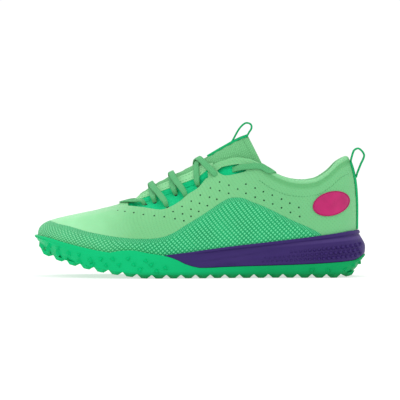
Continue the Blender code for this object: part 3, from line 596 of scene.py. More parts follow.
# upper border of the open mesh on the quarter: x, z in metres
meshBorder = ((-0.140, 0.0485), (-0.1266, 0.0471), (-0.1182, 0.0448), (-0.110, 0.0433), (-0.1025, 0.0413),
              (-0.0947, 0.0392), (-0.0843, 0.0371), (-0.068, 0.0345), (-0.050, 0.0333), (-0.0335, 0.0341),
              (-0.0227, 0.0378), (-0.0119, 0.0444), (-0.0011, 0.0508), (0.0096, 0.0578), (0.0205, 0.0648),
              (0.0248, 0.0668), (0.0302, 0.0675), (0.0366, 0.0668), (0.0429, 0.0642), (0.0511, 0.0611),
              (0.0585, 0.0578), (0.078, 0.0482), (0.0925, 0.0418), (0.1017, 0.0365), (0.1032, 0.0345),
              (0.140, 0.0300))


def newMaterial(name, colour, roughness, sheen=0.0, coat=0.0, subsurface=0.0, gloss=0.12):
    made = bpy.data.materials.new(name)
    made.use_nodes = True
    shader = made.node_tree.nodes["Principled BSDF"]
    for label, value in (("Base Color", (*colour, 1.0)), ("Roughness", roughness), ("Sheen Weight", sheen),
                         ("Coat Weight", coat), ("Coat Roughness", 0.35), ("Specular IOR Level", gloss),
                         ("Subsurface Weight", subsurface), ("Subsurface Scale", 0.002)):
        shader.inputs[label].default_value = value
    place = nodeIn(made.node_tree, "ShaderNodeTexCoord").outputs["Object"]
    return made, shader, place


def feed(shader, label, value):
    shader.id_data.links.new(value, shader.inputs[label])


def mixOf(share, first, second):
    # Two colours, each a socket or three numbers
    values = [value if isinstance(value, bpy.types.NodeSocket) else (*value, 1.0) for value in (first, second)]
    return nodeIn(share.id_data, "ShaderNodeMix", ((0, share), (6, values[0]), (7, values[1])),
                  data_type="RGBA").outputs[2]


def blendOf(share, first, second):
    return nodeIn(share.id_data, "ShaderNodeMix", ((0, share), (2, first), (3, second))).outputs[0]


def splitOf(place):
    return nodeIn(place.id_data, "ShaderNodeSeparateXYZ", ((0, place),)).outputs


def noiseOf(place, scale, detail=3.0):
    return nodeIn(place.id_data, "ShaderNodeTexNoise", (("Vector", place), ("Scale", scale), ("Detail", detail),
                                                        ("Roughness", 0.55))).outputs["Fac"]


def rampOf(value, low, high, start=0.0, end=1.0):
    return nodeIn(value.id_data, "ShaderNodeMapRange", (("Value", value), ("From Min", low), ("From Max", high),
                                                        ("To Min", start), ("To Max", end))).outputs["Result"]


def bumpInto(shader, height, distance, strength):
    made = nodeIn(shader.id_data, "ShaderNodeBump", (("Height", height), ("Distance", distance),
                                                     ("Strength", strength)))
    feed(shader, "Normal", made.outputs["Normal"])


def uvIn(tree, name):
    return splitOf(nodeIn(tree, "ShaderNodeUVMap", uv_map=name).outputs["UV"])[:2]


def waveOf(value, pitch):
    # 0 to 1 and back over each pitch
    return mathOf("MULTIPLY_ADD", mathOf("SINE", times(value, 2 * math.pi / pitch)), 0.5, 0.5)


def bandOf(value, low, high, soft):
    return times(rampOf(value, low - soft, low + soft), rampOf(value, high + soft, high - soft))


def rubberMaterial():
    # Moulded rubber: even colour with a fine mould grain, darker toward the heel and low on the lugs, both darkenings
    # painted shade
    tones = finishes["rubber"]
    made, shader, place = newMaterial("green rubber", tones["light"], 0.46, gloss=0.09)
    x, _, z = splitOf(place)
    grain, cloud = noiseOf(place, 900.0, 2.0), noiseOf(place, 28.0)
    # painted shade toward the heel, over a random cloud of tone
    darker = plus(times(cloud, 0.30), times(rampOf(x, -0.050, 0.060), 0.75))
    shade = mixOf(darker, tones["light"], tones["dark"])
    # painted shade low on the lugs
    feed(shader, "Base Color", mixOf(times(rampOf(z, 0.0060, 0.0012), 0.80), shade, tones["lugShade"]))
    feed(shader, "Roughness", rampOf(plus(grain, cloud), 0.6, 1.5, 0.36, 0.58))
    bumpInto(shader, grain, 0.00008, 0.4)
    return made


def foamMaterial():
    # Moulded foam skin with a speckled grain, a painted highlight on a facet high up toward the heel
    tones = finishes["foam"]
    made, shader, place = newMaterial("purple foam", tones["light"], 0.50, gloss=0.20)
    x, _, z = splitOf(place)
    grain, cloud = noiseOf(place, 1400.0, 2.0), noiseOf(place, 35.0)
    cells = nodeIn(place.id_data, "ShaderNodeTexVoronoi", (("Vector", place), ("Scale", 800.0))).outputs["Distance"]
    slope = mathOf("MULTIPLY_ADD", x, 0.09, 0.0205)
    # painted highlight: a band high on the rear where the facet faces up
    facetHighlight = times(bandOf(minus(z, slope), -0.0006, 0.0022, 0.0005), rampOf(x, 0.045, 0.105))
    feed(shader, "Base Color", mixOf(plus(times(facetHighlight, 0.6), times(cloud, 0.35)), tones["dark"], tones["facetHighlight"]))
    feed(shader, "Roughness", rampOf(grain, 0.3, 0.7, 0.45, 0.65))
    bumpInto(shader, plus(grain, cells), 0.00010, 0.45)
    return made


def clothMaterial(name):
    # Woven or knitted cloth: two crossed thread families, each thread darker in its gaps
    pitch, roughness, sheen, light, dark = cloths[name]
    made, shader, place = newMaterial(name, light, roughness, sheen=sheen)
    if name == "insole cloth":
        x, y, z = splitOf(place)
        first, second = plus(x, y), plus(z, times(y, 0.7))
    else:
        first, second = uvIn(place.id_data, "weave")
    weave = times(waveOf(plus(first, second), pitch), waveOf(minus(first, second), pitch))
    share = plus(times(weave, 0.75), times(noiseOf(place, 60.0, 4.0), 0.35))
    feed(shader, "Base Color", mixOf(share, dark, light))
    bumpInto(shader, plus(weave, times(noiseOf(place, 2200.0, 2.0), 0.5)), pitch * 0.18, 0.7)
    return made


def belowBorder(x, z, reach=0.14, top=0.08):
    # How far a point lies below the mesh's upper border, a curve over the shoe's length
    curve = nodeIn(x.id_data, "ShaderNodeFloatCurve", (("Value", rampOf(x, -reach, reach)),))
    points = curve.mapping.curves[0].points
    while len(points) > 2:
        points.remove(points[1])
    rows = [((a + reach) / (2 * reach), b / top) for a, b in meshBorder]
    points[0].location, points[1].location = rows[0], rows[-1]
    for row in rows[1:-1]:
        points.new(*row)
    curve.mapping.update()
    return minus(times(curve.outputs[0], top), z)


def upperMaterial():
    # One skin with its panels: open mesh low down, smooth film above, a padded knit collar
    tones = finishes
    made, shader, place = newMaterial("upper skin", tones["vamp"], 0.55, sheen=0.04, subsurface=0.03, gloss=0.25)
    x, _, z = splitOf(place)
    depth = belowBorder(x, z)
    along, below = uvIn(place.id_data, "edgeMap")
    u, w = uvIn(place.id_data, "panelMap")
    ways = plus(u, w), minus(u, w)
    cloud, fine = noiseOf(place, 45.0, 4.0), noiseOf(place, 1600.0, 2.0)
    # film colours, with a painted highlight over the toes, slightly darker toward the heel
    film = mixOf(rampOf(x, -0.055, -0.105), tones["vamp"], tones["paintedHighlight"])
    film = mixOf(rampOf(x, 0.000, 0.060), film, tones["quarter"])
    film = mixOf(times(rampOf(cloud, 0.35, 0.75), 0.22), film, tones["collar"])
    # pinholes in the film
    pins = times(*(waveOf(way, tones["pinholePitch"]) for way in ways))
    pins = times(rampOf(pins, 0.74, 0.92), rampOf(x, -0.085, -0.045))
    film = mixOf(times(pins, 0.32), film, tones["pinhole"])
    # the padded collar follows the top edge, with a painted highlight where it rolls over
    padded = rampOf(along, 0.600, 0.660)
    collar = times(bandOf(below, -0.05, 0.0050, 0.0012), padded)
    rollHighlight = times(bandOf(below, -0.0020, 0.0010, 0.0005), padded)
    knit = times(*(waveOf(way, pitch) for way, pitch in zip((u, w), tones["knitPitch"])))
    film = mixOf(collar, film, mixOf(knit, tones["collarGap"], tones["collar"]))
    # painted highlight along the collar's roll
    film = mixOf(times(rollHighlight, 0.45), film, tones["paintedHighlight"])
    # open mesh: two thread families cross at 45 degrees, finer along the border, lighter at the toe from the painted
    # toe highlight
    coarse, small = [times(*(rampOf(waveOf(way, pitch), 0.16, 0.46) for way in ways))
                     for pitch in (tones["meshPitch"], tones["meshPitch"] / 2)]
    pads = blendOf(bandOf(depth, 0.0, 0.0034, 0.0006), coarse, small)
    front = rampOf(x, -0.04, -0.12)
    thread = mixOf(rampOf(cloud, 0.3, 0.7), tones["meshThread"], tones["meshDeep"])
    netting = mixOf(pads, mixOf(times(front, 0.15), thread, tones["paintedHighlight"]),
                    mixOf(times(front, 0.45), tones["meshPad"], tones["paintedHighlight"]))
    inMesh = rampOf(depth, -0.0002, 0.0002)
    outside = mixOf(inMesh, film, netting)
    # the lining shows where the surface lies inside
    inner = rampOf(below, -0.0018, -0.0036)
    liner = mixOf(knit, tones["liningGap"], tones["lining"])
    feed(shader, "Base Color", mixOf(times(inner, 0.9), outside, liner))
    feed(shader, "Roughness", blendOf(inMesh, 0.50, 0.72))
    relief = minus(blendOf(inMesh, times(fine, 0.15), pads), times(pins, 0.5))
    relief = minus(plus(relief, times(collar, times(knit, 0.8))), times(inMesh, 1.6))
    bumpInto(shader, relief, 0.00035, 0.75)
    return made


def filmMaterial(name):
    colour, roughness, coat = films[name]
    made, shader, place = newMaterial(name, colour, roughness, coat=coat)
    cloud, fine = noiseOf(place, 70.0), noiseOf(place, 1500.0, 2.0)
    feed(shader, "Base Color", mixOf(rampOf(cloud, 0.3, 0.75), colour, [0.72 * c for c in colour]))
    bumpInto(shader, plus(fine, cloud), 0.00006, 0.4)
    return made


def threadMaterial(name):
    colour = threads[name]
    made, shader, place = newMaterial(name, colour, 0.6, sheen=0.2)
    fine = noiseOf(place, 2600.0, 2.0)
    feed(shader, "Base Color", mixOf(fine, [0.6 * c for c in colour], colour))
    bumpInto(shader, fine, 0.00005, 0.5)
    return made


greenRubber, purpleFoam, upperSkin = rubberMaterial(), foamMaterial(), upperMaterial()
underlayCloth, tongueCloth, laceCloth, tapeCloth, stripCloth, insoleCloth = [clothMaterial(name) for name in cloths]
badgeFilm, badgeRim, agletFilm = [filmMaterial(name) for name in films]
stitchThread, paleThread, holeShade = [threadMaterial(name) for name in threads]


def addFloor(half=6.0):
    material, shader, place = newMaterial("pale floor", finishes["floor"], 0.8, gloss=0.0)
    shader.inputs["Emission Color"].default_value = (1.0, 1.0, 1.0, 1.0)
    shader.inputs["Emission Strength"].default_value = finishes["floorGlow"]
    feed(shader, "Base Color", mixOf(noiseOf(place, 3.0, 2.0), finishes["floorDark"], finishes["floorLight"]))
    work = bmesh.new()
    work.faces.new([work.verts.new((x * half, y * half, 0.0)) for x, y in ((-1, -1), (1, -1), (1, 1), (-1, 1))])
    placeMesh("floor", work, material)


addFloor()

print("stage: sole")
sole = {
    "wallRows": ((0.00, 1.00), (0.05, 0.93), (0.12, 0.78), (0.22, 0.60), (0.34, 0.42), (0.46, 0.25), (0.58, 0.12),
                 (0.68, 0.03), (0.75, -0.02), (0.80, 0.03), (0.84, 0.03), (0.88, -0.03), (0.95, 0.00), (1.00, 0.07)),
    "foamRows": ((0.00, 0.45), (0.05, 0.10), (0.11, 0.00), (0.22, -0.17), (0.32, -0.24), (0.40, -0.24), (0.47, -0.12),
                 (0.53, 0.05), (0.60, 0.26), (0.67, 0.46), (0.74, 0.64), (0.80, 0.80), (0.84, 0.86), (0.865, 0.70),
                 (0.885, 0.32), (0.92, 0.22), (0.96, 0.24), (0.985, 0.30), (1.00, 0.46)),
    "spineSteps": (0.12, 0.30, 0.50, 0.70, 0.86, 1.0),
    "lugStart": -0.1285, "lugEnd": 0.1345, "lugPitch": 0.0122, "lugRow": 0.0104, "lugInset": 0.0042, "lugTwist": 0.15,
    "lugSize": (0.0124, 0.0092, 0.0031), "lugTop": 0.42, "toeLugTurn": 0.17, "toeLugSize": (0.0100, 0.0080, 0.0034),
    "nubSize": (0.0063, 0.00504, 0.0024), "bumpSize": (0.0038, 0.00342, 0.0017), "bumpPitch": 0.0039,
    "bumpFrom": 0.690, "bumpThirdFrom": 0.760, "bumpTo": 0.985, "sunk": 0.0001,
}
# small side nubs of the green wall, as pixels of the side view
nubPlaces = ((50, 244.5), (59.2, 246.8), (69.8, 251.4), (80.3, 253.2), (91.8, 257.8), (102.2, 256.9), (114, 256.9),
             (129.3, 256.4), (146.6, 258.5), (48.2, 251.4), (58.3, 253.7), (68.0, 257.0), (80.8, 259.6),
             (94.0, 262.4), (107.3, 263.1), (120.1, 262.6), (134.9, 262), (141, 267.1), (157.3, 268.7), (152, 262.5),
             (166, 265.5), (310.7, 268.6), (326.8, 269), (343.8, 268.1), (352, 264.5), (358, 261.9))


def toSpine(ring, shares, height=None):
    # Steps from a ring to the line between its two sides
    half = len(ring) // 2
    rows = []
    for share in shares:
        row = []
        for k, point in enumerate(ring):
            other = ring[-k] if k else ring[0]
            middle = (point + other) / 2
            moved = point.lerp(middle, share)
            if height and k % half:
                moved.z = height(moved.x)
            row.append(moved)
        rows.append(row)
    return rows


def buildOutsole():
    def wallRing(part, leanShare):
        def level(share, x):
            return footAt(x) + (wallTop(share) - footAt(x)) * part
        return ringOf(lambda share: leanAt(share) * leanShare, level)

    wall = [wallRing(*row) for row in sole["wallRows"]]
    lip = ringOf(lambda share: shoe["rimWall"], lambda share, x: wallTop(share))
    seat = ringOf(lambda share: shoe["rimWall"],
                  lambda share, x: min(wallTop(share) - 0.0006, bedAt(share) - shoe["clearance"]))
    base = ringOf(lambda share: leanAt(share) + shoe["rimWall"],
                  lambda share, x: footAt(x) + shoe["baseThickness"])
    under = toSpine(wall[0], sole["spineSteps"], footAt)
    made = loft("outsole_rubber_shell", under[::-1] + wall + [lip, seat, base] + toSpine(base, sole["spineSteps"]),
                greenRubber, smooth=42)
    dress(made, "outsole")
    return made


def lugSpots():
    # Columns of peaked lugs square to the underside, the outermost ones flush with the side walls
    spots = []
    column, x = 0, sole["lugStart"]
    while x < sole["lugEnd"]:
        share = shareAt(x)
        angle = angleOf(share)
        inset = leanAt(share) + sole["lugInset"]
        low, high = outline(angle).y + inset, outline(-angle).y - inset
        rows = round((high - low) / sole["lugRow"])
        places = [low + (high - low) * row / rows for row in range(rows + 1)] if rows > 0 else [(low + high) / 2]
        slope = (groundAt(x + 0.002) - groundAt(x - 0.002)) / 0.004
        down = Vector((slope, 0, -1)).normalized()
        for row, y in enumerate(places):
            way = Vector((1, sole["lugTwist"] * (-1) ** (row + column), slope))
            spots.append((Vector((x, y, footAt(x) + sole["sunk"])), down, way, 0.97))
        x += sole["lugPitch"] / math.hypot(1, slope)
        column += 1
    return spots


outsoleShell = buildOutsole()
repeatForm("outsole_lugs", lugSpots(), 4, sole["lugSize"], greenRubber, top=sole["lugTop"], spread=0.03)
outsoleTree = treeOf(outsoleShell)


def toeLugSpots():
    # Lugs that stand out of the toe's front wall
    spots = []
    for step in range(-3, 4):
        angle = sole["toeLugTurn"] * step
        share = shareOf(angle)
        out = soleOut(angle)
        point = outline(angle) - out * (leanAt(share) * 0.62 + 0.001)
        low = footAt(point.x)
        point.z = low + (wallTop(share) - low) * 0.25
        spots.append((point, (out * 0.62 + Vector((0, 0, -0.78))).normalized(), out.cross(Vector((0, 0, 1))), 1.0))
    return spots


repeatForm("outsole_toe_lugs", toeLugSpots(), 4, sole["toeLugSize"], greenRubber, top=sole["lugTop"])


def nubSpots():
    spots = []
    for i, (px, py) in enumerate(nubPlaces):
        x, z = photoPlace(px, py)
        for place, normal in bothSides(outsoleTree, x, z):
            spots.append((place - normal * 2 * sole["sunk"], normal, Vector((1, 0, 0.9 if i % 2 else -0.9)), 1.0))
    return spots


repeatForm("outsole_nubs", nubSpots(), 3, sole["nubSize"], greenRubber, top=0.25, spread=0.12)


# lines carved in the foam, which run up from the waist: depth, width, level at the toe, slope, fading
carvedLines = ((0.55, 0.06, -0.195, 1.10, (0.46, 0.52, 0.66, 0.80)),
               (0.40, 0.05, -0.325, 0.75, (0.52, 0.58, 0.72, 0.86)))


def buildMidsole():
    def sideRing(part, inset):
        def level(share, x):
            low = min(wallTop(share), rimAt(share) - shoe["tuck"])
            return low + (rimAt(share) - low) * part

        def stepIn(share):
            carve = 0.0
            for deep, wide, level, slope, (start, full, late, end) in carvedLines:
                near = math.exp(-((part - level - slope * share) / wide) ** 2)
                carve += deep * near * smoothStep(start, full, share) * (1 - smoothStep(late, end, share))
            return shoe["rimWall"] * (inset + carve) * smoothStep(0.42, 0.56, share) + heelSet(share) * part ** 2
        return ringOf(stepIn, level)

    bottom = ringOf(leanAt, lambda share, x: footAt(x))
    rows = [sideRing(*row) for row in sole["foamRows"]]
    for part, height in ((0.72, lambda share, x: rimAt(share) + 0.0001), (1.0, lambda share, x: rimAt(share)),
                         (1.0, lambda share, x: bedAt(share))):
        rows.append(ringOf(lambda share: shoe["rimWall"] * part + heelSet(share), height))
    made = loft("midsole_foam", toSpine(bottom, sole["spineSteps"])[::-1] + [bottom] + rows
                + toSpine(rows[-1], sole["spineSteps"]), purpleFoam)
    gap = shoe["clearance"]
    wall = shoe["rimWall"]
    cup = [ringOf(lambda share: -2 * wall, lambda share, x: groundAt(x) - shoe["lugHeight"]),
           ringOf(lambda share: -2 * wall, lambda share, x: wallTop(share) + gap),
           ringOf(lambda share: wall + gap, lambda share, x: wallTop(share) + gap),
           ringOf(lambda share: wall + gap, lambda share, x: min(wallTop(share) - 2 * gap, bedAt(share) - gap)),
           ringOf(lambda share: leanAt(share) + wall + 2 * gap,
                  lambda share, x: footAt(x) + shoe["baseThickness"] + gap)]
    cutBy(made, toSpine(cup[0], sole["spineSteps"])[::-1] + cup + toSpine(cup[-1], sole["spineSteps"]), "cup", 42)
    dress(made, "midsole")
    return made


midsoleFoam = buildMidsole()
midsoleTree = treeOf(midsoleFoam)


def bumpSpots():
    # Three staggered rows of six-sided bumps along the rear half, larger toward the heel
    spots = []
    for row in range(3):
        for step in range(60):
            share = sole["bumpFrom"] + (step + 0.5 * (row % 2)) * sole["bumpPitch"] / shoe["soleLength"]
            if share > sole["bumpTo"] or row == 2 and share < sole["bumpThirdFrom"]:
                continue
            grow = 0.45 + 0.65 * smoothStep(0.69, 0.95, share)
            z = wallTop(share) + (rimAt(share) - wallTop(share)) * (0.18 + 0.165 * row)
            for place, normal in bothSides(midsoleTree, lengthAt(share), z):
                if abs(normal.y) > 0.15:
                    spots.append((place - normal * sole["sunk"], normal, Vector((1, 0, 0.2)), grow))
    return spots


repeatForm("midsole_bumps", bumpSpots(), 6, sole["bumpSize"], purpleFoam, top=0.55)


def buildInsole():
    inset = shoe["rimWall"] + shoe["wall"] + 2 * shoe["clearance"]
    gap, thick = shoe["clearance"], shoe["insoleThickness"]
    rows = [(inset, gap), (inset, gap + 0.5 * thick), (inset + 0.15 * thick, gap + 0.75 * thick),
            (inset + 0.5 * thick, thick - 0.0002), (inset + 0.8 * thick, thick)]
    rings = [ringOf(lambda share, i=i: i + heelSet(share), lambda share, x, h=h: bedAt(share) + h) for i, h in rows]
    rings = toSpine(rings[0], (0.5, 1.0))[::-1] + rings + toSpine(rings[-1], sole["spineSteps"])
    made = loft("insole_liner", rings, insoleCloth)
    dress(made, "insole")


buildInsole()

print("stage: upper")
# side of the shoe, whether it is the outer one, its name in the CAD nodes
sides = (("outer", True, "lateral"), ("inner", False, "medial"))
upperSettings = {"rows": 30, "rollTurns": (20, 45, 70, 90, 110, 135, 160)}
# soft creases: from x, z to x, z, half width, depth
creases = (((-0.086, 0.052), (-0.062, 0.033), 0.0035, 0.00055), ((-0.074, 0.058), (-0.052, 0.038), 0.0035, 0.00050),
           ((-0.100, 0.046), (-0.080, 0.032), 0.0030, 0.00035), ((-0.046, 0.046), (-0.022, 0.036), 0.0040, 0.00030),
           ((0.048, 0.079), (0.066, 0.060), 0.0050, 0.00055), ((0.030, 0.076), (0.046, 0.056), 0.0050, 0.00035),
           ((0.098, 0.082), (0.104, 0.060), 0.0045, 0.00045), ((0.118, 0.074), (0.130, 0.070), 0.0030, 0.00035),
           ((0.074, 0.074), (0.082, 0.052), 0.0055, 0.00040))
frontWindow = ((0.285, 0.600), (0.330, 0.590), (0.380, 0.571), (0.411, 0.593), (0.442, 0.643), (0.463, 0.694),
               (0.488, 0.736), (0.504, 0.777), (0.517, 0.823), (0.525, 0.862), (0.500, 1.100), (0.300, 1.000))
rearWindow = ((0.552, 0.893), (0.570, 0.925), (0.613, 0.947), (0.624, 0.934), (0.620, 0.915), (0.640, 0.895),
              (0.618, 0.872), (0.580, 0.853), (0.562, 0.868))


def creaseDepth(point):
    depth = 0.0
    for (x0, z0), (x1, z1), width, deep in creases:
        dx, dz = x1 - x0, z1 - z0
        t = ((point.x - x0) * dx + (point.z - z0) * dz) / (dx * dx + dz * dz)
        if -0.4 < t < 1.4:
            side = ((point.x - x0) * dz - (point.z - z0) * dx) / math.hypot(dx, dz)
            fade = smoothStep(-0.4, 0.2, t) * (1 - smoothStep(0.8, 1.4, t))
            near = math.exp(-(side / width) ** 2)
            ridge = 0.45 * math.exp(-((side - 1.9 * width) / width) ** 2)
            depth += deep * fade * (near - ridge)
    return depth


def windowRings(table):
    flat = [Vector((lengthAt(a), 0, shoe["collarHeight"] * b)) for a, b in table]
    flat = curveThrough(flat + flat[:1], 4)[:-1]
    return [[Vector((p.x, side * shoe["ballWidth"], p.z)) for p in flat] for side in (-1, 1)]


def buildUpper():
    rows = upperSettings["rows"]
    arcs = [0.0]
    for k in range(1, len(ringAngles) + 1):
        first, second = outline(ringAngles[k - 1]), outline(ringAngles[k % len(ringAngles)])
        arcs.append(arcs[-1] + (second - first).length)
    pitch = finishes["meshPitch"]
    stretch = round(arcs[-1] / pitch) * pitch / arcs[-1]
    ribLengths = [lineLength([lastPoint(angle, i / 6) for i in range(7)]) for angle in ringAngles]

    def lowRing(depth):
        # The edge tucked into the sole
        ring = [lastPoint(angle, 0.0) - soleOut(angle) * depth for angle in ringAngles]
        for point, angle in zip(ring, ringAngles):
            point.z = rimAt(shareOf(angle)) - shoe["tuck"]
        return ring

    rings, levels = [lowRing(0.0)], [0.0]
    for row in range(rows + 1):
        rise = row / rows
        fade = smoothStep(0.0, 0.12, rise) * (1 - smoothStep(0.90, 1.0, rise))
        rings.append([point - lastNormal(angle, rise) * creaseDepth(point) * fade
                      for angle, point in ((angle, lastPoint(angle, rise)) for angle in ringAngles)])
        levels.append(rise)
    for turn in upperSettings["rollTurns"]:
        turned = math.radians(turn)
        ring = []
        for angle in ringAngles:
            top, normal, pad = lastPoint(angle, 1.0), lastNormal(angle, 1.0), wallAt(angle, 1.0)
            upward = (top - lastPoint(angle, 0.996)).normalized()
            ring.append(top - normal * pad * (1 - math.cos(turned)) / 2
                        + upward * pad * shoe["roll"] * math.sin(turned))
        rings.append(ring)
        levels.append(1.0 + 0.05 * turn / 180)
    for row in range(rows // 2, -1, -1):
        rise = row / (rows // 2)
        rings.append([skinPoint(angle, rise, wallAt(angle, rise)) for angle in ringAngles])
        levels.append(1.06 + (1 - rise))
    rings.append(lowRing(shoe["wall"]))
    levels += [2.1, 2.2]

    def panelMap(row, column):
        return arcs[column] * stretch, levels[row] * ribLengths[column % len(ribLengths)]

    def edgeMap(row, column):
        column %= len(ringAngles)
        return shareOf(ringAngles[column]), (1.0 - levels[row]) * ribLengths[column]

    made = loft("upper_skin", rings, upperSkin, (("panelMap", panelMap), ("edgeMap", edgeMap)), closed=True)
    cutBy(made, windowRings(frontWindow), "front window", 60)
    cutBy(made, windowRings(rearWindow), "rear window", 60)
    dress(made, "upper")
    return made


upperPiece = buildUpper()
upperTree = treeOf(upperPiece)


def buildUnderlay(name, outer, node):
    # The bright cloth behind the lace windows, ribbed across
    sign = 1 if outer else -1
    angles = [sign * angleOf(0.037 + 0.567 * i / 60) for i in range(61)]
    rises = [0.5 + 0.5 * i / 16 for i in range(17)]

    def layer(extra, ribbed):
        rows = []
        for rise in rises:
            row = []
            for i, angle in enumerate(angles):
                rib = 0.00012 * math.cos(2 * math.pi * i / 3) if ribbed else 0.0
                row.append(skinPoint(angle, rise, wallAt(angle, rise) + shoe["underlayGap"] + extra - rib))
            rows.append(row)
        return rows

    made = slab(name, layer(0.0, True), layer(shoe["underlay"] - 0.0002, False), underlayCloth,
                (("weave", lambda row, column: (column * 0.0023, row * 0.0026)),))
    dress(made, node)


for side, outer, node in sides:
    buildUnderlay("underlay_" + side, outer, "eyestay_" + node)

print("stage: tongue")
tongueSettings = {"stations": 56, "wingRows": 5, "archSteps": 30, "quilt": 0.0085, "quiltDepth": 0.0007}


def tongueWing(angle, rises):
    depth = shoe["underlay"] + 4 * shoe["clearance"]
    return [skinPoint(angle, rise, wallAt(angle, rise) + depth) for rise in rises]


@functools.lru_cache(maxsize=None)
def tongueArch(along):
    angle = angleOf(along)
    outer, inner = tongueWing(angle, (1.0,))[0], tongueWing(-angle, (1.0,))[0]
    centre = Vector((lengthAt(readTable(tongueRows, 1, along)), (outer.y + inner.y) / 2,
                     shoe["tongueHeight"] * readTable(tongueRows, 2, along)))
    crown = (centre - (outer + inner) / 2) * 4 / 3
    across = (inner - outer) * shoe["tongueShoulder"]
    return outer, outer + crown + across, inner + crown - across, inner


def tongueLine(along):
    angle = angleOf(along)
    wing, steps = tongueSettings["wingRows"], tongueSettings["archSteps"]
    rises = [0.76 + 0.24 * i / wing for i in range(wing + 1)]
    arch = [bezierAt(tongueArch(along), i / steps) for i in range(1, steps)]
    return tongueWing(angle, rises) + arch + tongueWing(-angle, rises)[::-1]


def gridNormals(grid):
    normals = []
    for r, row in enumerate(grid):
        line = []
        for c in range(len(row)):
            around = grid[r][min(c + 1, len(row) - 1)] - grid[r][max(c - 1, 0)]
            along = grid[min(r + 1, len(grid) - 1)][c] - grid[max(r - 1, 0)][c]
            line.append(along.cross(around).normalized())
        normals.append(line)
    return normals


def buildTongue():
    count = tongueSettings["stations"]
    start, end = tongueStretch["start"] + 0.001, tongueStretch["end"]
    grid = [tongueLine(start + (end - start) * i / (count - 1)) for i in range(count)]
    hidden = [[point + Vector((-0.0030, 0, -0.0010)) * k for point in grid[0]] for k in (4, 3, 2, 1)]
    grid = hidden + grid    # the foot of the tongue, under the vamp
    count = len(grid)
    normals = gridNormals(grid)
    columns = len(grid[0])
    lengths, widths = [0.0], []
    for r in range(1, count):
        lengths.append(lengths[-1] + (grid[r][columns // 2] - grid[r - 1][columns // 2]).length)
    for row in grid:
        line = [0.0]
        for first, second in zip(row, row[1:]):
            line.append(line[-1] + (second - first).length)
        widths.append([w - line[-1] / 2 for w in line])
    quilt = math.pi / tongueSettings["quilt"]
    outer, inner = [], []
    for r in range(count):
        topRow, lowRow = [], []
        for c in range(columns):
            a, b = lengths[r], widths[r][c]
            channel = abs(math.sin((a + b) * quilt) * math.sin((a - b) * quilt))
            edgeFade = min(1.0, (count - 1 - r) / 4, r / 3)
            sideFade = smoothStep(0, 6, c) * smoothStep(0, 6, columns - 1 - c)
            puff = tongueSettings["quiltDepth"] * (channel ** 0.5 - 0.9) * edgeFade * sideFade
            thick = shoe["tongueThickness"] * (0.35 + 0.65 * roundEnd(min(count - 1 - r, 4) / 4, 1.0))
            inset = 0.5 * (shoe["tongueThickness"] - thick)
            topRow.append(grid[r][c] + normals[r][c] * (puff - inset))
            lowRow.append(grid[r][c] - normals[r][c] * (shoe["tongueThickness"] - inset))
        outer.append(topRow)
        inner.append(lowRow)
    weave = ("weave", lambda r, c: (lengths[r], widths[r][c]))
    made = slab("tongue_pad", outer, inner, tongueCloth, (weave,), smooth=70)
    dress(made, "tongue")
    return made, grid, normals


tonguePad, tongueGrid, tongueNormals = buildTongue()


def buildTongueTape():
    # A flat woven tape down the middle of the tongue
    middle = len(tongueGrid[0]) // 2
    first = int(0.68 * len(tongueGrid))
    # place across and height above and below, both on the tongue's arch
    section = [(o, 0.0010 - 22 * o * o - hem, -0.0006 - 22 * o * o) for o, hem in
               ((0.0045, 0.0004), (0.0040, 0), (0.0020, 0), (0.0, 0), (-0.0020, 0), (-0.0040, 0), (-0.0045, 0.0004))]
    outer, inner = [], []
    for row, normals in zip(tongueGrid[first:], tongueNormals[first:]):
        way = (row[middle + 1] - row[middle - 1]).normalized()
        outer.append([row[middle] + way * o + normals[middle] * high for o, high, _ in section])
        inner.append([row[middle] + way * o + normals[middle] * low for o, _, low in section])
    made = slab("tongue_tape_band", outer, inner, tapeCloth, (("weave", lambda r, c: (r * 0.0016, c * 0.0017)),))
    dress(made, "tongue_tape")


buildTongueTape()


def placeAt(length, height):
    return Vector((lengthAt(length), 0.0, shoe["tongueHeight"] * height))


loops = {"width": 0.0080, "thickness": 0.0016, "steps": 8,
         "tongue": ((0.5955, 0.9456), (0.6028, 0.976), (0.6161, 1.0327), (0.6282, 1.0681), (0.6409, 1.0865),
                    (0.6542, 1.0766), (0.6566, 1.049), (0.6493, 1.0199), (0.6433, 0.9937)),
         "heel": ((0.9577, 0.790), (0.9568, 0.815), (0.9600, 0.850), (0.967, 0.893), (0.982, 0.904), (0.997, 0.858),
                  (0.986, 0.790), (0.9768, 0.735), (0.9727, 0.700))}


def buildLoop(name, route, node):
    path = curveThrough([placeAt(*point) for point in route], loops["steps"])
    ups = [Vector((0, 1, 0)).cross(path[min(i + 1, len(path) - 1)] - path[max(i - 1, 0)]) for i in range(len(path))]
    made = band(name, path, ups, loops["width"], loops["thickness"], tapeCloth, power=0.4)
    dress(made, node)


buildLoop("tongue_pull", loops["tongue"], "tongue_loop")
buildLoop("heel_pull", loops["heel"], "heel_loop")


# half widths in degrees of turn: the tape, where its hem begins, its seams
heelTape = {"half": 7.0, "hem": 6.0, "seam": 5.5}


def buildHeelTape():
    angles = [math.pi + (i - 6) / 6 * math.radians(heelTape["half"]) for i in range(13)]
    hem = math.radians(heelTape["hem"])
    rises = [0.01 + 0.92 * i / 24 for i in range(25)]
    outer = [[skinPoint(a, rise, -0.0013 + (0.0004 if abs(a - math.pi) > hem else 0)) for a in angles]
             for rise in rises]
    inner = [[skinPoint(a, rise, -0.0002) for a in angles] for rise in rises]
    made = slab("heel_tape_band", outer, inner, tapeCloth, (("weave", lambda r, c: (r * 0.0019, c * 0.0009)),))
    dress(made, "heel_tape")


buildHeelTape()

badgeSettings = {"place": (0.894, 0.520), "long": 0.032, "high": 0.020, "tilt": 0.25, "thick": 0.0008, "spokes": 48,
                 "rimFrom": 0.915}


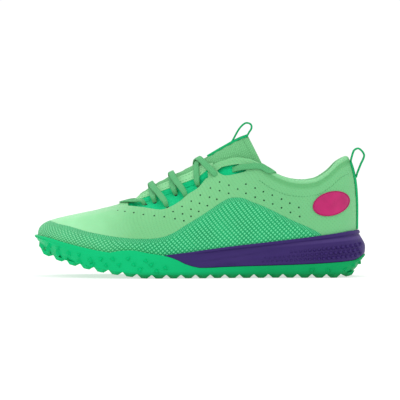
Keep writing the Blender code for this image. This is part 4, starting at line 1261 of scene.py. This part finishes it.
def buildBadge(name, outer, node):
    # A plain oval film patch, slightly domed, with a darker welded rim
    centre = placeAt(*badgeSettings["place"])
    tilt = badgeSettings["tilt"]

    def ringAt(grow, lift):
        ring = []
        for spoke in range(badgeSettings["spokes"]):
            turn = 2 * math.pi * spoke / badgeSettings["spokes"]
            a = badgeSettings["long"] / 2 * grow * math.cos(turn)
            b = badgeSettings["high"] / 2 * grow * math.sin(turn)
            x = centre.x + a * math.cos(tilt) - b * math.sin(tilt)
            z = centre.z + a * math.sin(tilt) + b * math.cos(tilt)
            place, normal = onSurface(upperTree, x, z, outer)
            ring.append(place + normal * lift)
        return ring

    thick = badgeSettings["thick"] + shoe["clearance"]
    rings = [ringAt(grow, thick - drop) for grow, drop in
             ((0.001, 0), (0.35, 0), (0.7, 0.00005), (0.90, 0.0001), (0.925, 0.0003), (0.94, 0.0001), (0.985, 0.0001),
              (1.0, 0.0004), (1.0, thick - 0.0001), (0.001, thick - 0.0001))]
    made = loft(name, rings, badgeFilm, smooth=30)
    made.data.materials.append(badgeRim)
    for face in made.data.polygons:
        dx, dz = face.center.x - centre.x, face.center.z - centre.z
        a = (dx * math.cos(tilt) + dz * math.sin(tilt)) / (badgeSettings["long"] / 2)
        b = (-dx * math.sin(tilt) + dz * math.cos(tilt)) / (badgeSettings["high"] / 2)
        if math.hypot(a, b) > badgeSettings["rimFrom"]:
            face.material_index = 1
    dress(made, node)


for side, outer, node in sides:
    buildBadge("badge_" + side, outer, "badge_" + node)

print("stage: laces")
laceSettings = {
    "width": 0.0052, "thickness": 0.0015, "over": 0.0006, "lift": 0.2, "points": 22, "hullRows": 4,
    "dip": 0.0022, "halves": 15, "arch": 8,
    "strands": (((0.326, 0.532), (0.326, 0.532), 0, 0.060), ((0.362, 0.556), (0.396, 0.530), 0, 0.020),
                ((0.396, 0.530), (0.362, 0.556), 1, 0.020), ((0.424, 0.611), (0.454, 0.594), 0, 0.020),
                ((0.454, 0.594), (0.424, 0.611), 1, 0.020), ((0.493, 0.672), (0.545, 0.725), 0, 0.020),
                ((0.545, 0.725), (0.493, 0.672), 1, 0.020)),
    "from": ((0.598, 0.768, 0.0028), (0.611, 0.769, 0.0009), (0.625, 0.772, -0.0013)),
    "end": ((0.640, 0.775), (0.667, 0.782), (0.690, 0.778), (0.708, 0.757)), "inside": (0.93, 0.80, 0.66),
    "endOver": 0.0012, "clear": 0.0003, "eyelet": (0.0050, 0.0032, 0.0003),
}


def halve(low, high, below):
    # The value between low and high where below stops being true
    for _ in range(laceSettings["halves"]):
        middle = (low + high) / 2
        low, high = (middle, high) if below(middle) else (low, middle)
    return middle


def findPlace(length, height, outer):
    side = 1 if outer else -1
    rise = 0.5
    for _ in range(6):
        angle = side * halve(0.0, math.pi, lambda turn: lastPoint(side * turn, rise).x < length)
        rise = halve(0.0, 1.0, lambda share: lastPoint(angle, share).z < height)
    return angle, rise


def tautLine(x, outerRise, innerRise):
    # The line of a lace over the upper and the tongue at this length
    chains = []
    for side, low in ((1, outerRise), (-1, innerRise)):
        chain = []
        for row in range(laceSettings["hullRows"] + 1):
            rise = low + (1 - low) * row / laceSettings["hullRows"]
            turn = halve(0.0, math.pi, lambda turn: lastPoint(side * turn, rise).x < x)
            chain.append(lastPoint(side * turn, rise))
        chains.append(chain)
    along = halve(tongueStretch["start"], tongueStretch["search"],
                  lambda share: lengthAt(readTable(tongueRows, 1, share)) < x)
    crown = [bezierAt(tongueArch(along), step / laceSettings["arch"]) for step in range(laceSettings["arch"] + 1)]
    taut = []
    for point in chains[0] + crown + chains[1][::-1]:
        flat = Vector((point.y, point.z))
        while len(taut) > 1:
            back, ahead = taut[-1] - taut[-2], flat - taut[-1]
            if back.x * ahead.y - back.y * ahead.x < 0:
                break
            taut.pop()
        taut.append(flat)
    return taut


def alongLine(line, share):
    lengths = [(b - a).length for a, b in zip(line, line[1:])]
    left = share * sum(lengths)
    index = 0
    while index < len(lengths) - 1 and left > lengths[index]:
        left -= lengths[index]
        index += 1
    return line[index] + (line[index + 1] - line[index]).normalized() * left


def smoothPath(points, rounds):
    for _ in range(rounds):
        inner = [(a + 2 * b + c) / 4 for a, b, c in zip(points, points[1:], points[2:])]
        points = [points[0], *inner, points[-1]]
    return points


def buildStrand(number, outer, inner, under, bow):
    count = laceSettings["points"]
    ends = [findPlace(*placeAt(*outer).xz, True), findPlace(*placeAt(*inner).xz, False)]
    half = laceSettings["thickness"] / 2 + laceSettings["over"]
    near = []
    for step in range(count + 1):
        share = step / count
        arc = math.sin(math.pi * share)
        x = lengthAt(outer[0] + (inner[0] - outer[0]) * share - bow * arc)
        pair = [Vector((x + extra, *alongLine(tautLine(x + extra, ends[0][1], ends[1][1]), share)))
                for extra in (0.0, laceSettings["width"] / 2)]
        near.append((pair[0], pair[1] - pair[0], arc))
    path, ups = [], []
    for i, (point, lengthways, arc) in enumerate(near):
        before, after = near[max(i - 1, 0)][0], near[min(i + 1, count)][0]
        away = lengthways.cross(after - before).normalized()
        rise = under * max(arc, 0.0) ** laceSettings["lift"] * (laceSettings["thickness"] + laceSettings["over"])
        path.append(point + away * (half + rise))
        ups.append(away)
    path, ups = smoothPath(path, 2), smoothPath(ups, 2)
    # both ends dive through their eyelets
    for end, way in ((0, 1), (-1, -1)):
        angle, rise = ends[end]
        normal = lastNormal(angle, rise)
        down = (path[end] - path[end + way]).normalized()
        eyelet = skinPoint(angle, rise, wallAt(angle, rise) + shoe["underlayGap"]) + down * 0.0026
        dive = [path[end] + down * 0.0018 - normal * 0.0016, eyelet - normal * laceSettings["dip"]]
        eyeletSpots.append((eyelet + normal * 0.0001, normal, down, 1.0))
        turned = (normal + down).normalized()
        if end == 0:
            path, ups = dive[::-1] + path, [turned, turned] + ups
        else:
            path, ups = path + dive, ups + [turned, turned]
    path, ups = curveThrough(path, 3), curveThrough(ups, 3)
    made = band("lace_strand_" + str(number), path, ups, laceSettings["width"], laceSettings["thickness"], laceCloth,
                grow=lambda share: 0.62 + 0.38 * min(1.0, share * 9, (1 - share) * 9))
    dress(made, "lace_" + str(number))


eyeletSpots = []
for number, row in enumerate(laceSettings["strands"], start=1):
    buildStrand(number, *row)


stripSettings = {"front": -0.0685, "back": 0.0110, "stations": 64, "wide": 0.0100, "steps": 8, "thick": 0.00045,
                 "rise": 0.985, "fold": 0.07, "seams": (0.28, 0.72), "seamStep": 2}
stripSeams = []


def buildEyestayStrip(name, outer):
    # The pale stitched strip between the lace window and the middle of the tongue
    top, low, fold, lining = [], [], [], []
    steps = stripSettings["steps"]
    for station in range(stripSettings["stations"] + 1):
        reach = station / stripSettings["stations"]
        x = stripSettings["front"] + (stripSettings["back"] - stripSettings["front"]) * reach
        line = tautLine(x, stripSettings["rise"], stripSettings["rise"])
        line = line if outer else line[::-1]
        whole = lineLength(line)
        wide = min(stripSettings["wide"] * (1 - 0.6 * smoothStep(0.86, 1.0, reach)), 0.499 * whole)
        topRow, lowRow = [], []
        for step in range(steps + 1):
            place = alongLine(line, wide / whole * step / steps)
            before = alongLine(line, max(wide * (step / steps - 0.15) / whole, 0.0))
            ahead = alongLine(line, wide * (step / steps + 0.15) / whole) - before
            away = Vector((0, -ahead.y, ahead.x) if outer else (0, ahead.y, -ahead.x)).normalized()
            topRow.append(Vector((x, *place)) + away * stripSettings["thick"])
            lowRow.append(Vector((x, *place)) - away * 0.0001)
        top.append(topRow)
        low.append(lowRow)
        angle, rise = findPlace(x, topRow[0].z, outer)
        foot = skinPoint(angle, rise - stripSettings["fold"], wallAt(angle, rise) + 0.0004)
        fold.append([lowRow[0], lowRow[0].lerp(foot, 0.5) + lastNormal(angle, rise) * 0.0003, foot])
        inside = lastNormal(angle, rise) * 0.0003
        lining.append([point - inside for point in fold[-1]])
    made = slab(name, top, low, stripCloth, (("weave", lambda row, column: (row * 0.00125, column * 0.0012)),))
    folded = slab(name + "_fold", fold, lining, underlayCloth,
                  (("weave", lambda row, column: (row * 0.0023, column * 0.0026)),))
    for piece in (made, folded):
        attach(piece, "root")
    for seam in stripSettings["seams"]:
        column = round(seam * steps)
        for row in range(2, stripSettings["stations"] - 6, stripSettings["seamStep"]):
            ahead = (top[row + 1][column] - top[row][column]).normalized()
            across = top[row][column + 1] - top[row][column - 1]
            away = ahead.cross(across).normalized()
            stripSeams.append((top[row][column], away if away.z > 0 else -away, ahead, 1.0))


for side, outer, _ in sides:
    buildEyestayStrip("eyestay_strip_" + side, outer)


def overCollar(x, outer, lift):
    angle, _ = findPlace(x, shoe["collarHeight"], outer)
    top, normal, pad = lastPoint(angle, 1.0), lastNormal(angle, 1.0), wallAt(angle, 1.0)
    away = normal.cross(lastPoint(angle + 0.004, 1.0) - lastPoint(angle - 0.004, 1.0)).normalized()
    away = away if away.z > 0 else -away
    return top - normal * pad / 2 + away * (pad * shoe["roll"] + lift), away


def buildLaceEnd(name, outer, node):
    half = laceSettings["thickness"] / 2 + 2 * laceSettings["clear"]
    over = laceSettings["endOver"]
    route = []
    for length, height, depth in laceSettings["from"]:
        angle, rise = findPlace(*placeAt(length, height).xz, outer)
        route.append((skinPoint(angle, rise, depth), lastNormal(angle, rise)))
    for length, height in laceSettings["end"]:
        angle, rise = findPlace(*placeAt(length, height).xz, outer)
        route.append((skinPoint(angle, rise, -half), lastNormal(angle, rise)))
    angle, _ = findPlace(*placeAt(*laceSettings["end"][-1]).xz, outer)
    route.append(overCollar(route[-1][0].x + laceSettings["width"] / 2, outer, half))
    for rise in laceSettings["inside"]:
        route.append((skinPoint(angle, rise, wallAt(angle, rise) + half + over), -lastNormal(angle, rise)))
    path = smoothPath(curveThrough([point for point, _ in route], 5), 6)
    ups = smoothPath(curveThrough([away for _, away in route], 5), 6)
    made = band(name, path, ups, laceSettings["width"], laceSettings["thickness"], laceCloth)
    aglet = band(name + "_aglet", path[-8:], ups[-8:], laceSettings["width"] * 1.04,
                 laceSettings["thickness"] * 1.35, agletFilm, sides=12)
    length = lineLength(path)
    dress(made, node)
    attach(aglet, "root")
    points = [tuple(point) for point in path[::3]]
    if (path[-1] - Vector(points[-1])).length > 1e-6:
        points.append(tuple(path[-1]))


for side, outer, node in sides:
    buildLaceEnd("lace_end_" + side, outer, "lace_end_" + node)
# the eyelet holes are dark discs of painted shade
repeatForm("eyelet_holes", eyeletSpots, 12, laceSettings["eyelet"], holeShade, top=0.9)

print("stage: stitches and perforations")
stitching = {"step": 0.0024, "size": (0.0017, 0.00045, 0.00030), "perforation": (0.0017, 0.0017, 0.00028)}
# perforations of the quarter, as pixels of the side view
perforationPlaces = (
    (118.4, 209.5), (125.6, 210.4), (134.5, 211.5), (144, 213.3), (154.8, 214.4), (164.7, 215.4), (175.3, 217.4),
    (184, 219.3), (173.4, 210.4), (182.2, 205.4), (191.3, 200.2), (200.3, 194.3), (210.3, 187.4), (219.4, 181.4),
    (182.8, 212.6), (191.1, 208.1), (199.5, 202.3), (209.4, 196.3), (219.3, 189.9), (228.6, 184.5), (191.1, 215),
    (198.7, 210.2), (207.2, 204.6), (216.6, 198.3), (228.3, 192.5), (237.3, 188.4), (245.4, 183.5), (245.4, 192.5),
    (254.5, 187.3), (262.7, 190.9), (254.5, 196.3), (271.4, 194.3), (263.2, 199.5), (280.6, 198.2), (271.9, 203),
    (288.8, 202.2), (280.5, 206.8), (297.7, 206.4), (289.4, 211.3), (298.6, 215.4))


def followEdge(below, first, last, outer, count=400):
    # Spots along the upper at a distance under its top edge
    sign = 1 if outer else -1
    points = []
    for i in range(count + 1):
        along = first + (last - first) * i / count
        angle = sign * angleOf(along)
        length = (lastPoint(angle, 1.0) - lastPoint(angle, 0.8)).length * 5
        rise = 1 - below / length
        points.append((lastPoint(angle, rise), lastNormal(angle, rise)))
    spots, walked = [], 0.0
    for (a, _), (b, normal) in zip(points, points[1:]):
        walked += (b - a).length
        if walked >= stitching["step"]:
            walked -= stitching["step"]
            spots.append((b + normal * 0.00008, normal, (b - a).normalized(), 1.0))
    return spots


def insideWindow(point):
    x, z = point.x, point.z
    for table in (frontWindow, rearWindow):
        corners = [(lengthAt(a), shoe["collarHeight"] * b) for a, b in table]
        inside = False
        for (x0, z0), (x1, z1) in zip(corners, corners[1:] + corners[:1]):
            if (z0 > z) != (z1 > z) and x < (x1 - x0) * (z - z0) / (z1 - z0) + x0:
                inside = not inside
        if inside:
            return True
    return False


darkSeams, paleSeams = [], []
for outer in (True, False):
    paleSeams += followEdge(0.0018, 0.02, 0.600, outer)
    paleSeams += followEdge(0.0052, 0.02, 0.600, outer)
    darkSeams += followEdge(0.0122, 0.615, 0.985, outer)
repeatForm("edge_stitches", [s for s in paleSeams if not insideWindow(s[0])], "bead", stitching["size"], paleThread)
repeatForm("collar_stitches", darkSeams, "bead", stitching["size"], stitchThread)
repeatForm("strip_stitches", stripSeams, "bead", stitching["size"], stitchThread)


def perforationSpots():
    spots = []
    for px, py in perforationPlaces:
        x, z = photoPlace(px, py)
        if not insideWindow(Vector((x, 0, z))):
            for place, normal in bothSides(upperTree, x, z):
                spots.append((place - normal * 2 * sole["sunk"], normal, Vector((1, 0, 0)), 1.0))
    return spots


# the perforations are dark discs of painted shade
repeatForm("perforations", perforationSpots(), 10, stitching["perforation"], holeShade, top=0.85)


def tongueStitches():
    # A seam just inside the tongue's top edge
    spots, walked = [], 0.0
    line, normals = tongueGrid[-4], tongueNormals[-4]
    for c in range(6, len(line) - 6):
        walked += (line[c + 1] - line[c]).length
        if walked > 0.0016:
            walked = 0.0
            spots.append((line[c] + normals[c] * 0.0002, normals[c], (line[c + 1] - line[c]).normalized(), 0.8))
    return spots


repeatForm("tongue_stitches", tongueStitches(), "bead", stitching["size"], stitchThread)


def heelStitches():
    spots = []
    for side in (-1, 1):
        angle = math.pi + side * math.radians(heelTape["seam"])
        for i in range(34):
            rise = 0.03 + 0.88 * i / 33
            ahead = lastPoint(angle, rise + 0.01) - lastPoint(angle, rise)
            spots.append((skinPoint(angle, rise, -0.00135), lastNormal(angle, rise), ahead.normalized(), 0.8))
    return spots


repeatForm("heel_stitches", heelStitches(), "bead", stitching["size"], stitchThread)

print("stage: done")
